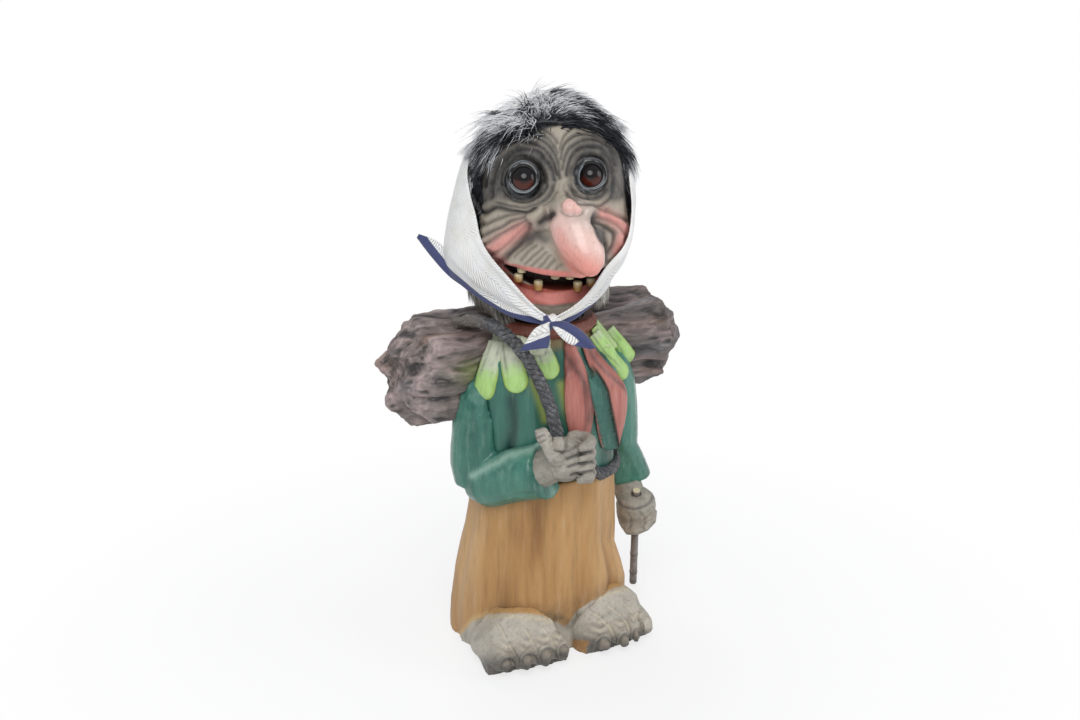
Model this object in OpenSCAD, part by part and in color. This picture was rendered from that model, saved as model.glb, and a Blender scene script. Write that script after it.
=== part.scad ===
/* [Body] */
// Width of the skirt at the floor
skirt_w = 184; // [170:1:200]
// Depth of the skirt at the floor
skirt_d = 158; // [146:1:172]
// Width of the waist under the belt
waist_w = 146; // [136:1:156]
// Depth of the waist under the belt
waist_d = 124; // [116:1:132]
// Height of the waist above the floor
waist_z = 188; // [180:1:196]
// Height of the front hem over the feet
hem_z = 50; // [44:1:54]
// Depth of the pleats in the skirt
pleat = 3.2; // [1:0.2:4.4]
// Width of the jacket across the chest
chest_w = 156; // [146:1:166]
// Depth of the jacket through the chest
chest_d = 124; // [116:1:132]
// Height of the shoulders above the floor
shoulder_z = 312; // [306:1:318]
// Height of the collar above the floor
collar_z = 342; // [338:1:346]
// Width of the collar opening
collar_w = 80; // [72:1:88]

/* [Head] */
// Width of the bare head
head_w = 146; // [138:1:150]
// Depth of the bare head
head_d = 150; // [142:1:154]
// Height of the bare head
head_h = 198; // [192:1:202]
// Height of the head's middle above the floor
head_z = 463; // [460:1:466]
// Turn of the head to the figure's right, in degrees
head_turn = 18; // [8:1:24]
// Radius of the neck stub
neck_r = 33; // [28:1:36]
// Length of the nose from the face
nose_l = 56; // [46:1:64]
// Drop of the nose's tip below its root
nose_drop = 50; // [40:1:56]
// Radius of the nose at the face
nose_r = 24; // [20:0.5:26]
// Radius of the nose near its tip
nose_tip_r = 17; // [13:0.5:19]
// Radius of the wart on the nose
wart_r = 7; // [4:0.5:9]
// Distance between the two eyes
eye_gap = 63; // [58:1:66]
// Height of the eyes above the head's middle
eye_up = 33; // [29:1:37]
// Radius of a glass eye
eye_r = 13; // [11:0.5:15]
// Width of the mouth
mouth_w = 96; // [84:1:104]
// Opening of the mouth at its middle
mouth_open = 18; // [15:0.5:21]
// Depth of the mouth behind the lips
mouth_depth = 24; // [20:1:30]
// Width of a tooth
tooth_w = 9; // [6:0.5:10]
// Height of a tooth
tooth_h = 7; // [5:0.5:8]

/* [Hair and headscarf] */
// Thickness of the hair at the sides of the head
hair_t = 11; // [9:0.5:13]
// Thickness of the scarf's cloth with its folds
cloth_t = 2; // [1.6:0.1:3]
// Thickness of the hair over the brow
fringe_t = 21; // [16:1:25]
// Reach of the scarf's loose corner from the head
flap_l = 48; // [36:1:54]
// Length of each scarf tail from the knot
tail_l = 40; // [30:1:48]
// Width of each scarf tail
tail_w = 20; // [14:1:26]
// Radius of the scarf's knot
knot_r = 9; // [7:0.5:11]

/* [Arms and hands] */
// Radius of the sleeves at the elbow
sleeve_r = 28; // [25:0.5:31]
// Radius of a closed fist
fist_r = 21; // [18:0.5:24]
// Radius of a finger
finger_r = 7.2; // [6:0.2:8.4]

/* [Walking stick] */
// Radius of the stick
stick_r = 4.8; // [3.6:0.1:6]
// Gap round the stick inside the fist
stick_gap = 0.3; // [0.2:0.05:0.5]
// Lean of the stick from upright, in degrees
stick_lean = 21; // [17:1:24]
// Length of the stick from the floor to its sawn end
stick_l = 140; // [132:1:150]

/* [Wood bundle and ropes] */
// Length of the bundle of wood
bundle_l = 336; // [310:2:360]
// Radius of the bundle of wood
bundle_r = 58; // [52:1:62]
// Depth of the grooves between the branches
branch_groove = 6; // [3:0.5:7]
// Radius of the carrying rope
rope_r = 8; // [6.5:0.25:9.5]
// Radius of the rope belt
belt_r = 7; // [5.5:0.25:8.5]

/* [Collar and neckerchief] */
// Length of a collar leaf
leaf_l = 62; // [54:1:70]
// Number of leaves round the collar
leaves = 12; // [10:1:14]
// Thickness of a collar leaf
leaf_t = 6; // [4:0.5:7]
// Length of the neckerchief's tails
kerchief_l = 132; // [118:1:138]
// Width of the neckerchief's tails
kerchief_w = 34; // [28:1:38]
// Thickness of the neckerchief's tails
kerchief_t = 8; // [6:0.5:10]

/* [Feet] */
// Width of a foot across the toes
foot_w = 90; // [82:1:94]
// Reach of the toes in front of the figure's middle
foot_reach = 88; // [80:1:96]
// Height of the foot at the toes
toe_z = 30; // [26:0.5:33]
// Number of toes on each foot
toes = 4; // [3:1:5]

/* [Hidden] */

head_c = [4, -2, head_z];
head_r = [head_w / 2, head_d / 2, head_h / 2];
skirt_y = 28;
waist_y = 6;
step_s = 10;
seat = 0.3;

ochre = [0.74, 0.55, 0.30];
jade = [0.16, 0.47, 0.39];
leaf_green = [0.58, 0.76, 0.35];
brick = [0.70, 0.36, 0.30];
skin_grey = [0.50, 0.48, 0.43];
hand_grey = [0.60, 0.56, 0.50];
bark = [0.38, 0.32, 0.30];
rope_grey = [0.30, 0.29, 0.30];
cloth_white = [0.90, 0.90, 0.88];
hair_grey = [0.55, 0.56, 0.58];
glass_brown = [0.22, 0.07, 0.05];
ivory = [0.82, 0.76, 0.55];
twig = [0.40, 0.34, 0.31];

// A soft step from 0 to 1
function ease(t) = let (c = min(1, max(0, t))) c * c * (3 - 2 * c);
// A round hill of height 1 and width w at distance d
function hill(d, w) = exp(-(d * d) / (w * w));
// A hill over a point of the face, wider or taller as asked
function hill2(u, w, cu, cw, su, sw) = hill((u - cu) / su, 1) * hill((w - cw) / sw, 1);
// A table of sizes against height, with its corners eased
function soft(z, table) = (lookup(z - step_s, table) + 2 * lookup(z, table)
    + lookup(z + step_s, table)) / 4;
function unit(v) = v / norm(v);
function mean(points) = [for (k = [0 : 2]) let (s = [for (p = points) p[k]])
    s * [for (p = points) 1] / len(points)];
function curve(p, t) = let (s = 1 - t)
    s * s * s * p[0] + 3 * s * s * t * p[1] + 3 * s * t * t * p[2] + t * t * t * p[3];
function along(path, i) = unit(path[min(i + 1, len(path) - 1)] - path[max(i - 1, 0)]);

// A closed skin over rings of points that run the same way round
module skin(rings) {
    m = len(rings);
    n = len(rings[0]);
    points = [for (ring = rings) each ring, mean(rings[0]), mean(rings[m - 1])];
    sides = [for (i = [0 : m - 2], j = [0 : n - 1])
        let (a = i * n + j, b = i * n + (j + 1) % n)
        each [[a, a + n, b + n], [a, b + n, b]]];
    foot = [for (j = [0 : n - 1]) [m * n, j, (j + 1) % n]];
    top = [for (j = [0 : n - 1]) let (a = (m - 1) * n) [m * n + 1, a + (j + 1) % n, a + j]];
    polyhedron([for (p = points) p], concat(sides, foot, top), convexity = 8);
}

// Carved work: cuts and joins inside it give one faceted form
module carved() {
    resize([0, 0, 0]) union() children();
}

// A round limb along a path, with a radius at each point and twisted lobes where asked
module limb(path, radii, sides = 10, up = [0, 0, 1], lobes = 0, lobe = 0, turns = 0) {
    last = len(path) - 1;
    skin([for (i = [0 : last])
        let (t = along(path, i), x = unit(cross(up, t)), y = cross(t, x))
        [for (j = [0 : sides - 1])
            let (a = 360 * j / sides, r = radii[i] * (1 + lobe * cos(lobes * a + 360 * turns * i / last)))
            path[i] + r * (x * cos(a) + y * sin(a))]]);
}

// Radii that close softly at both ends of a limb
function rounded(r, steps, hard = 6) = [for (i = [0 : steps])
    let (k = 0.01 + 0.98 * i / steps) r * sqrt(1 - pow(abs(2 * k - 1), hard))];
function bend(p, steps) = [for (i = [0 : steps]) curve(p, i / steps)];

// An egg of half sizes r round c
module egg(c, r, around = 28, levels = 18) {
    skin([for (i = [0 : levels])
        let (a = -88 + 176 * i / levels)
        [for (j = [0 : around - 1])
            let (t = 360 * j / around)
            [c.x + r.x * cos(a) * cos(t), c.y + r.y * cos(a) * sin(t), c.z + r.z * sin(a)]]]);
}

// Skirt

skirt_half_w = [[0, skirt_w / 2], [26, skirt_w / 2 + 1], [70, skirt_w / 2 - 4],
    [120, skirt_w / 2 - 12], [waist_z, waist_w / 2]];
skirt_half_d = [[0, skirt_d / 2], [26, skirt_d / 2 + 1], [70, skirt_d / 2 - 4],
    [120, skirt_d / 2 - 12], [waist_z, waist_d / 2]];
skirt_mid_y = [[0, skirt_y], [60, skirt_y - 4], [waist_z, waist_y]];
function pleats(t, z) = pleat * (1 - 0.45 * z / waist_z) * (cos(11 * t) + 0.5 * cos(17 * t + 40))
    * (0.35 + 0.65 * ease(0.5 - sin(t)));
function skirt_point(t, z, out = 0) =
    let (grow = pleats(t, z) + out)
    [(soft(z, skirt_half_w) + grow) * cos(t),
        soft(z, skirt_mid_y) + (soft(z, skirt_half_d) + grow) * sin(t), z];

// The skirt reaches further down than the floor where it only cuts others
module skirt_form(low = 0) {
    levels = [low, 16, 34, 52, 72, 96, 122, 150, waist_z];
    skin([for (z = levels) [for (t = [0 : 9 : 351])
        let (p = skirt_point(t, max(0, z))) [p.x, p.y, z]]]);
}

module skirt() {
    color(ochre) skirt_form();
}

// Feet

foot_back = -20;
foot_apart = 50;
foot_splay = 5;
toe_pitch = foot_w / (toes + 0.25);
toe_l = 40;
// A cutting block larger than any piece
block = 400;

// The sole's half width and the instep's height, from the heel end at 0 to the toe roots at 1
function sole_half(k) = foot_w / 2 * (0.8 + 0.18 * ease(k * 1.3));
function instep(k) = let (ankle = hem_z + 6) ankle + (toe_z - ankle) * ease((k - 0.5) / 0.68);

module foot_form() {
    reach = foot_reach + foot_back - toe_l * 0.5;
    skin([for (i = [0 : 5])
        let (k = i / 5, y = foot_back - reach * k, half = sole_half(k))
        [for (j = [0 : 13]) let (a = 360 * j / 14 - 90)
            [half * cos(a), y, sin(a) < 0 ? -3 : instep(k) * pow(sin(a), 0.6) * (1 - 0.25 * pow(k, 6))]]]);
    for (i = [0 : toes - 1])
        let (s = i - (toes - 1) / 2, x = s * toe_pitch, back = 9 * pow(abs(2 * s / toes), 2),
            r = toe_pitch / 2 + 2.2)
        limb([for (q = [0 : 0.2 : 1.01])
            [x * (0.92 + 0.08 * q), -foot_reach + back + toe_l * (1 - q), toe_z - r + 3 - 7 * q * q]],
            [for (q = [0 : 0.2 : 1.01]) r * sqrt(1 - pow(q, 4) * 0.9)], 9);
}

// One foot, set out from the middle and splayed
module foot(side) {
    color(hand_grey) carved() difference() {
        translate([side * foot_apart, 0, 0]) rotate([0, 0, side * foot_splay]) foot_form();
        skirt_form(-6);
        translate([-block / 2, -block / 2, -block]) cube(block);
        translate([side > 0 ? seat / 2 - block : -seat / 2, -block / 2, -1]) cube(block);
    }
}

module right_foot() { foot(-1); }
module left_foot() { foot(1); }

// Jacket

jacket_half_w = [[waist_z, waist_w / 2 + 1], [waist_z + 30, chest_w / 2 - 6], [260, chest_w / 2 - 1],
    [290, chest_w / 2 - 1], [shoulder_z, chest_w / 2 - 10], [shoulder_z + 16, collar_w / 2 + 12],
    [collar_z, collar_w / 2]];
jacket_half_d = [[waist_z, waist_d / 2 + 1], [waist_z + 30, chest_d / 2 - 1], [260, chest_d / 2],
    [290, chest_d / 2 - 4], [shoulder_z, chest_d / 2 - 12], [shoulder_z + 16, collar_w / 2 + 3],
    [collar_z, collar_w / 2 - 3]];
jacket_mid_y = [[waist_z, waist_y], [260, 4], [collar_z, 2]];
function drape(t, z) = 1.6 * cos(9 * t + 20) * (1 - ease((z - 225) / 45));

// A point of the jacket's face at an angle and a height, held proud by out
function on_jacket(t, z, out = 0) =
    let (grow = drape(t, z) + out)
    [(soft(z, jacket_half_w) + grow) * cos(t),
        soft(z, jacket_mid_y) + (soft(z, jacket_half_d) + grow) * sin(t), z];

module jacket_form() {
    levels = [waist_z, 212, 240, 266, 290, 303, 312, 320, 328, 335, collar_z];
    skin([for (z = levels) [for (t = [0 : 10 : 350]) on_jacket(t, z)]]);
}

module jacket() {
    color(jade) jacket_form();
}

// Sleeves

right_shoulder = [-61, 10, shoulder_z - 18];
right_elbow = [-74, 4, 180];
right_cuff = [-38, -58, 208];
left_shoulder = [64, 8, shoulder_z - 18];
left_fist = [116, 15, 108];
left_elbow = [98, 24, 200];
left_cuff = left_fist + [-3, 17, 34];

module right_sleeve_form() {
    upper = bend([right_shoulder, right_shoulder + [-10, -2, -36], right_elbow + [-2, 2, 50], right_elbow], 7);
    lower = bend([right_elbow + [-2, 12, 2], right_elbow + [2, -14, 0], right_cuff - [14, -22, 6],
        right_cuff], 7);
    limb(upper, sleeve_r * [0.5, 0.82, 0.93, 0.965, 0.982, 1, 1.018, 0.893], 16, [0, 1, 0]);
    limb(lower, sleeve_r * [0.321, 0.821, 1, 1, 0.982, 0.982, 1, 1.036], 16);
}

module right_sleeve() {
    color(jade) carved() difference() {
        right_sleeve_form();
        jacket_form();
        skirt_form(-6);
    }
}

module left_sleeve_form() {
    arm = bend([left_shoulder, left_shoulder + [16, 2, -30], left_elbow + [-2, -2, 30], left_cuff], 9);
    limb(arm, sleeve_r * [0.5, 0.82, 0.93, 0.93, 0.91, 0.875, 0.84, 0.804, 0.768, 0.75], 14, [0, 1, 0]);
}

module left_sleeve() {
    color(jade) carved() difference() {
        left_sleeve_form();
        jacket_form();
        skirt_form(-6);
    }
}

// Hands

right_fist = [-22, -80, 224];

// Four fingers curled round one side of a fist, and a thumb that ends where asked
module fist_form(thumb) {
    egg([0, 0, 0], [fist_r, fist_r * 0.95, fist_r * 1.08], 13, 7);
    for (i = [0 : 3])
        let (z = fist_r * (0.78 - 0.52 * i))
        limb(bend([[fist_r * 0.4, fist_r * 0.7, z], [fist_r * 1.5, fist_r * 0.4, z],
            [fist_r * 1.4, -fist_r * 1.1, z], [0, -fist_r, z]], 5), rounded(finger_r, 5, 10), 7);
    limb(bend([[-fist_r * 0.6, -fist_r * 0.1, 0], [-fist_r * 1.1, -fist_r * 0.8, fist_r * 0.5],
        thumb - [0, 0, fist_r * 0.7], thumb], 5), rounded(finger_r + 0.6, 5, 8), 7);
}

module right_hand_form() {
    translate(right_fist) rotate([0, 0, 12]) fist_form([-fist_r * 0.85, -fist_r * 0.5, fist_r * 1.6]);
    limb([right_cuff + [-8, 14, -6], right_cuff + [0, -1, 1], right_fist], [18, 19, 18], 13);
}

module right_hand() {
    color(hand_grey) carved() difference() {
        right_hand_form();
        right_sleeve_form();
        jacket_form();
        skirt_form(-6);
    }
}

stick_side = 61;
stick_tip_r = stick_r * 0.8;
stick_foot = [left_fist.x, left_fist.y, 0]
    + left_fist.z * tan(stick_lean) * [cos(stick_side), sin(stick_side), 0] + [0, 0, stick_tip_r];

// The stick's own frame: its foot at the origin and its length along Z
module at_stick() {
    translate(stick_foot) rotate([0, 0, stick_side]) rotate([0, -stick_lean, 0]) children();
}

// A plain fist like a short drum, with a thumb across its front
module drum_fist() {
    heights = [-1, -0.94, -0.72, -0.2, 0.3, 0.66, 0.86, 0.96];
    widths = [0.35, 0.62, 0.88, 1, 1.04, 0.98, 0.8, 0.5];
    limb([for (h = heights) [0, 0, h * fist_r * 1.15]], fist_r * widths, 15, [0, 1, 0]);
    limb(bend([[-0.9, -0.2, -0.5] * fist_r, [-0.9, -1.1, -0.4] * fist_r, [0, -1.5, 0.1] * fist_r,
        [0.6, -0.9, 0.5] * fist_r], 5), rounded(finger_r, 5, 8), 8);
}

module left_hand_form() {
    translate(left_fist) rotate([0, 0, stick_side]) rotate([0, -stick_lean, 0]) rotate([0, 0, -stick_side])
        drum_fist();
    limb([left_cuff + [0, 3, 10], left_cuff + [0, -2, -8], left_fist + [0, 4, 4]], [15, 16, 17], 12);
}

module left_hand() {
    color(hand_grey) difference() {
        carved() difference() {
            left_hand_form();
            left_sleeve_form();
            skirt_form(-6);
        }
        at_stick() cylinder(r = stick_r + stick_gap, h = stick_l * 1.5, $fn = 48);
    }
}

// Walking stick

module walking_stick() {
    color(twig) at_stick() {
        sphere(r = stick_tip_r, $fn = 48);
        rotate_extrude($fn = 48) polygon([[0, 0], [stick_tip_r, 0], [stick_tip_r, 26], [stick_r * 0.97, 31],
            [stick_r * 0.84, 37], [stick_r * 0.88, 60], [stick_r, 65], [stick_r * 0.92, 71], [stick_r, 84],
            [stick_r, stick_l], [0, stick_l]]);
    }
}

// Rope belt

// A closed loop of rings, the last joined to the first
module loop(rings) {
    n = len(rings);
    sides = len(rings[0]);
    faces = [for (i = [0 : n - 1], j = [0 : sides - 1])
        let (a = i * sides + j, b = i * sides + (j + 1) % sides,
            c = (a + sides) % (n * sides), d = (b + sides) % (n * sides))
        each [[a, b, d], [a, d, c]]];
    polyhedron([for (ring = rings) each ring], faces, convexity = 6);
}

module rope_belt_form() {
    sides = 6;
    n = 24;
    loop([for (i = [0 : n - 1])
        let (t = 360 * i / n, p = on_jacket(t, waist_z, 2), out = [cos(t), sin(t), 0])
        [for (j = [0 : sides - 1]) let (a = 360 * j / sides, r = belt_r * (1 + 0.12 * cos(2 * a + 60 * i)))
            p + r * (out * cos(a) + [0, 0, 1] * sin(a))]]);
}

module rope_belt() {
    color(rope_grey) carved() difference() {
        rope_belt_form();
        skirt_form(-6);
        jacket_form();
        right_sleeve_form();
        left_sleeve_form();
        right_hand_form();
    }
}

// Wood bundle

bundle_c = [12, 55, 291];
bundle_slant = 4;
bundle_steps = 12;
bundle_sides = 32;

// One ring of the bundle: branches side by side that wander along it and end unevenly
function bundle_ring(i) =
    let (q = 2 * i / bundle_steps - 1, end = sqrt(1 - pow(abs(q) * 0.985, 22)))
    [for (j = [0 : bundle_sides - 1])
        let (a = 360 * j / bundle_sides, wander = 26 * sin(150 * q + 30),
            ridge = cos(8 * a + wander) + 0.7 * cos(5 * a - 1.4 * wander + 60 * q),
            r = (bundle_r - branch_groove * 0.9 + branch_groove * ridge
                + 3 * sin(170 * q + 2 * a)) * end * (0.94 + 0.1 * pow(abs(q), 3)),
            x = (bundle_l / 2 - 6) * q + 6 * pow(abs(q), 5) * sign(q) * cos(4 * a + 50 * q))
        [x, r * cos(a), r * sin(a)]];

module bundle_form() {
    translate(bundle_c) rotate([0, 0, bundle_slant]) skin([for (i = [0 : bundle_steps]) bundle_ring(i)]);
}

module wood_bundle() {
    color(bark) carved() difference() {
        bundle_form();
        jacket_form();
        right_sleeve_form();
        left_sleeve_form();
        neck_band();
    }
}

// Carrying rope

rope_end = right_fist + [-4, 4, 8];
rope_path = bend([[-88, 60, 326], [-68, -42, 392], [-34, -80, 300], rope_end], 20);

module carrying_rope_form() {
    limb(rope_path, [for (p = rope_path) rope_r], 10, [1, 0, 0], 3, 0.1, 9);
}

module carrying_rope() {
    color(rope_grey) carved() difference() {
        carrying_rope_form();
        right_hand_form();
        right_sleeve_form();
        jacket_form();
        bundle_form();
    }
}

// Leaf collar

collar_from = -50;
collar_to = 252;
collar_lift = 1.6;
collar_rows = 2;

// A cape of leaves: each ring runs down its outside and up its inside
module leaf_collar_form() {
    steps = leaves * 6;
    skin([for (i = [0 : steps])
        let (q = i / steps, t = collar_from + (collar_to - collar_from) * q, c = abs(sin(180 * leaves * q)),
            low = collar_z - leaf_l * (0.45 + 0.55 * pow(c, 0.5)), top = collar_z - 5)
        [for (k = [0 : collar_rows]) let (f = k / collar_rows)
            on_jacket(t, top + (low - top) * f,
                collar_lift + 0.6 + leaf_t * (0.3 + 0.7 * c) * sqrt(1 - pow(f, 4) * 0.8)),
            for (k = [collar_rows : -1 : 0]) on_jacket(t, top + (low - top) * k / collar_rows, collar_lift)]]);
}

module leaf_collar() {
    color(leaf_green) carved() difference() {
        leaf_collar_form();
        jacket_form();
        right_sleeve_form();
        left_sleeve_form();
        carrying_rope_form();
        bundle_form();
        neck_band();
    }
}

// Neckerchief

band_r = 9;

module neck_band() {
    sides = 6;
    n = 20;
    loop([for (i = [0 : n - 1]) let (t = 360 * i / n, out = [cos(t), sin(t), 0], p = on_jacket(t, collar_z - 3))
        [for (j = [0 : sides - 1]) let (a = 360 * j / sides)
            p + band_r * (out * cos(a) + [0, 0, 0.9] * sin(a))]]);
}

// A tail of cloth that lies down the jacket from the band, wide in the middle and pointed
module tail(t, spread) {
    steps = 9;
    skin([for (i = [0 : steps])
        let (k = i / steps, z = collar_z - 6 - (kerchief_l - 6) * k,
            half = kerchief_w / 2 * pow(sin(180 * (0.12 + 0.87 * pow(k, 1.3))), 0.8),
            arc = half / (chest_w / 2) * 57)
        [for (j = [0 : 6]) let (a = 180 * j / 6)
            on_jacket(t + spread * k + arc * cos(a), z,
                seat + kerchief_t * (0.15 + 0.85 * sin(a)) * (0.4 + 0.6 * sin(180 * k))),
            for (j = [5 : -2 : 1]) let (a = 180 * j / 6)
                on_jacket(t + spread * k + arc * cos(a), z, seat)]]);
}

module neckerchief_form() {
    neck_band();
    tail(-88, 4);
    tail(-68, 12);
}

module neckerchief() {
    color(brick) carved() difference() {
        neckerchief_form();
        jacket_form();
        carrying_rope_form();
        right_hand_form();
        rope_belt_form();
        neck_form();
    }
}

// Head

module at_head() {
    translate(head_c) rotate([0, 0, -head_turn]) children();
}

// The face sits a little to the figure's right of the head's middle
face_u = -5;
// The mouth's middle line rises to its corners and slopes down to the figure's left
mouth_w0 = -head_h * 0.335;
mouth_rise = 9;
mouth_slope = 4;
function mouth_line(u) = let (q = 2 * u / mouth_w) mouth_w0 + mouth_rise * q * q - mouth_slope * q;
function mouth_gap(u) = mouth_open / 2 * sqrt(max(0, 1 - pow(2 * u / mouth_w, 2)));
function from_eye(c, w) = norm([c - eye_gap / 2, w - eye_up]);

// How far the face stands out of the plain egg at a place: u to the figure's left, w up
function face(u, w) =
    let (v = u - face_u, c = abs(v), m = mouth_line(v), lips = ease((mouth_w / 2 + 6 - c) / 14))
    11 * hill2(c, w, 56, -30, 18, 20)
    + 15 * hill2(v, w, 0, -50, 40, 24)
    + 6 * hill2(v, w, 0, 10, 16, 34)
    - 8 * hill(from_eye(c, w), 14)
    + 5 * hill(from_eye(c, w) - eye_r - 12, 6) * (0.35 + 0.65 * ease((w - eye_up) / 14 + 0.5))
    + 4 * hill(from_eye(c, w) - eye_r - 10, 6) * ease((eye_up - w) / 14)
    - 5 * hill2(c - 30 + 0.45 * w, w, 0, -24, 7, 26)
    + 7 * hill(w - m - mouth_open / 2 - 6, 6) * lips
    + 8 * hill(w - m + mouth_open / 2 + 8, 7) * lips
    + 18 * hill2(v, w, 0, -88, 30, 14);

// Heights of the skull's rings as shares of its half height, close together at the mouth and eyes
skull_levels = [-0.985, -0.95, for (k = [-0.91 : 0.041 : -0.5]) k, for (k = [-0.45 : 0.085 : 0.6]) k,
    0.71, 0.82, 0.92, 0.98];

module skull_form() {
    turns = [for (a = [-135 : 45 : -130]) a, for (a = [-96 : 8 : 96]) a, for (a = [135 : 45 : 180]) a];
    skin([for (k = skull_levels)
        let (e = asin(k))
        [for (t = turns)
            let (s = [cos(e) * sin(t), -cos(e) * cos(t), sin(e)],
                p = [head_r.x * s.x, head_r.y * s.y, head_r.z * s.z], d = face(p.x, p.z) * ease(cos(t) * 2.2))
            p + d * unit([s.x / head_r.x, s.y / head_r.y, 0.45 * s.z / head_r.z])]]);
}

nose_root = [3, -head_r.y + 10, 6];
nose_bend = 11.5;

module nose_form() {
    steps = 10;
    tip = nose_root + [nose_bend, -nose_l, -nose_drop];
    path = bend([nose_root + [-2, 10, 10], nose_root + [0, -8, 4], tip + [-5, 26, 22], tip], steps);
    radii = [for (i = [0 : steps]) let (k = i / steps)
        lookup(k, [[0, 8], [0.15, nose_r * 0.7], [0.4, nose_r], [0.6, nose_r * 0.98],
            [0.8, nose_r * 0.86], [1, nose_tip_r]]) * sqrt(1 - pow(k * 0.99, 10))];
    limb(path, radii, 16, [1, 0, 0]);
    egg(nose_root + [1, -14, 20], [wart_r * 1.25, wart_r, wart_r * 0.8], 11, 6);
    for (s = [-1, 1]) egg(nose_root + [s * nose_r, -6, -10], nose_r * [0.6, 0.6, 0.52], 11, 7);
}

// The open mouth, a lens that follows the mouth's line
module mouth_form() {
    steps = 12;
    translate([face_u, 0, 0]) skin([for (i = [0 : steps])
        let (u = (mouth_w / 2 - 1) * (2 * i / steps - 1), c = mouth_line(u), g = max(0.5, mouth_gap(u)),
            y = -sqrt(max(0, 1 - pow(u / head_r.x, 2))) * head_r.y * 0.74, back = y + mouth_depth * 0.45)
        [[u, y - 60, c - g], [u, y, c - g], [u, back, c - g * 0.8], [u, back + 3, c], [u, back, c + g * 0.8],
            [u, y, c + g], [u, y - 60, c + g]]]);
}

module neck_form() {
    into_head = 31;
    translate([0, 2, collar_z])
        cylinder(r = neck_r, h = head_z - head_h / 2 + into_head - collar_z, $fn = 28);
}

function eye_at(side) = [side * eye_gap / 2 + face_u, -head_r.y * 0.8 + side * 3, eye_up];

module head_form() {
    neck_form();
    at_head() {
        skull_form();
        nose_form();
    }
}

module head_cut() {
    at_head() {
        mouth_form();
        for (s = [-1, 1]) egg(eye_at(s), (eye_r + seat) * [1, 1, 1], 19, 11);
    }
}

module head() {
    color(skin_grey) carved() difference() {
        head_form();
        head_cut();
    }
}

// Eyes

module eye(side) {
    color(glass_brown) at_head() translate(eye_at(side)) sphere(r = eye_r, $fn = 48);
}

module right_eye() { eye(-1); }
module left_eye() { eye(1); }

// Teeth

// A tooth at u that starts above or below the mouth's line and ends in the open
module tooth(u, up) {
    y = -sqrt(1 - pow(u / head_r.x, 2)) * head_r.y * 0.74 - 7;
    root = mouth_line(u) + up * (mouth_gap(u) + 3);
    tip = mouth_line(u) + up * max(1, mouth_gap(u) - tooth_h);
    translate([face_u, 0, 0])
        limb([[u, y, root], [u, y, (root + tip) / 2], [u, y, tip + up * 0.6], [u, y, tip]],
            [tooth_w / 2 * 0.9, tooth_w / 2, tooth_w / 2 * 0.95, tooth_w / 2 * 0.7], 8, [0, 1, 0]);
}

module teeth(places, up) {
    color(ivory) carved() difference() {
        at_head() for (u = places) tooth(u, up);
        difference() {
            head_form();
            head_cut();
        }
    }
}

module upper_teeth() { teeth([-33, -2, 12], 1); }
module lower_teeth() { teeth([-36, -18, 20, 33], -1); }

// Hair

shell_c = [0, 4, 2];

// A point of a shell round the head: a runs round the face, from 0 at the figure's left and 90 on top,
// and b from the back of the head at 0 to the face
function on_shell(a, b, r) = shell_c + [r.x * sin(b) * cos(a), r.y * cos(b), r.z * sin(b) * sin(a)];
function from_top(a) = acos(sin(a));

// A shell with an outer and an inner face, open at the front as far as edge allows
module shell(edge, outer, inner, steps_out, steps_in, around) {
    skin([for (i = [0 : steps_out]) [for (j = [0 : around - 1])
            let (a = 360 * j / around) outer(a, 2 + (edge(a) - 2) * i / steps_out)],
        for (i = [steps_in : -1 : 0]) [for (j = [0 : around - 1])
            let (a = 360 * j / around) inner(a, 2 + (edge(a) - 2) * i / steps_in)]]);
}

hairline = [[0, 128], [45, 117], [90, 101], [120, 94], [150, 78], [180, 70]];
fringe_from = 99;
fringe_ends = [10, 158];
skull_gap = 1.4;
each_way = [1, 1, 1];
hair_r = head_r + each_way * hair_t;

function hair_edge(a) = lookup(from_top(a), hairline);
// The hair stands thicker in front of the scarf, from temple to temple
function fringe_share(a, b) = let (c = a > 270 ? a - 360 : a)
    ease((b - fringe_from) / 8) * ease((fringe_ends[1] - c) / 16) * ease((c - fringe_ends[0]) / 16);
function hair_out(a, b) = on_shell(a, b, hair_r + each_way * (fringe_t - hair_t) * fringe_share(a, b));
function hair_in(a, b) = on_shell(a, b, head_r + each_way * skull_gap);

module wig_form() {
    at_head() shell(function(a) hair_edge(a), function(a, b) hair_out(a, b), function(a, b) hair_in(a, b),
        9, 4, 28);
}

module wig() {
    color(hair_grey) carved() difference() {
        wig_form();
        head_form();
    }
}

// Headscarf

knot_at = [-12, -78, -103];
fold = 1.2;
hair_clear = 1.5;

// The cloth's two edges from the knot up round the figure's right, over the head and down to the knot again,
// as shares of the hair's half sizes: the edge at the face, and the hem under the jaw and behind the neck
face_edge = [[-0.14, -0.95, -0.88], [-0.27, -0.89, -0.83], [-0.42, -0.84, -0.72], [-0.55, -0.77, -0.59],
    [-0.68, -0.65, -0.48], [-0.79, -0.52, -0.39], [-0.87, -0.43, -0.25], [-0.89, -0.44, -0.06],
    [-0.95, -0.29, 0.08], [-0.97, -0.14, 0.22], [-0.92, -0.02, 0.39], [-0.70, -0.10, 0.70],
    [-0.37, -0.12, 0.92], [0, -0.14, 0.99], [0.37, -0.12, 0.92], [0.70, -0.12, 0.70], [0.89, -0.19, 0.41],
    [0.92, -0.34, 0.16], [0.81, -0.59, -0.05], [0.79, -0.62, -0.23], [0.67, -0.74, -0.36],
    [0.46, -0.82, -0.47], [0.33, -0.88, -0.62], [0.18, -0.92, -0.74], [0, -0.95, -0.83], [-0.17, -0.95, -0.88]];
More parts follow.
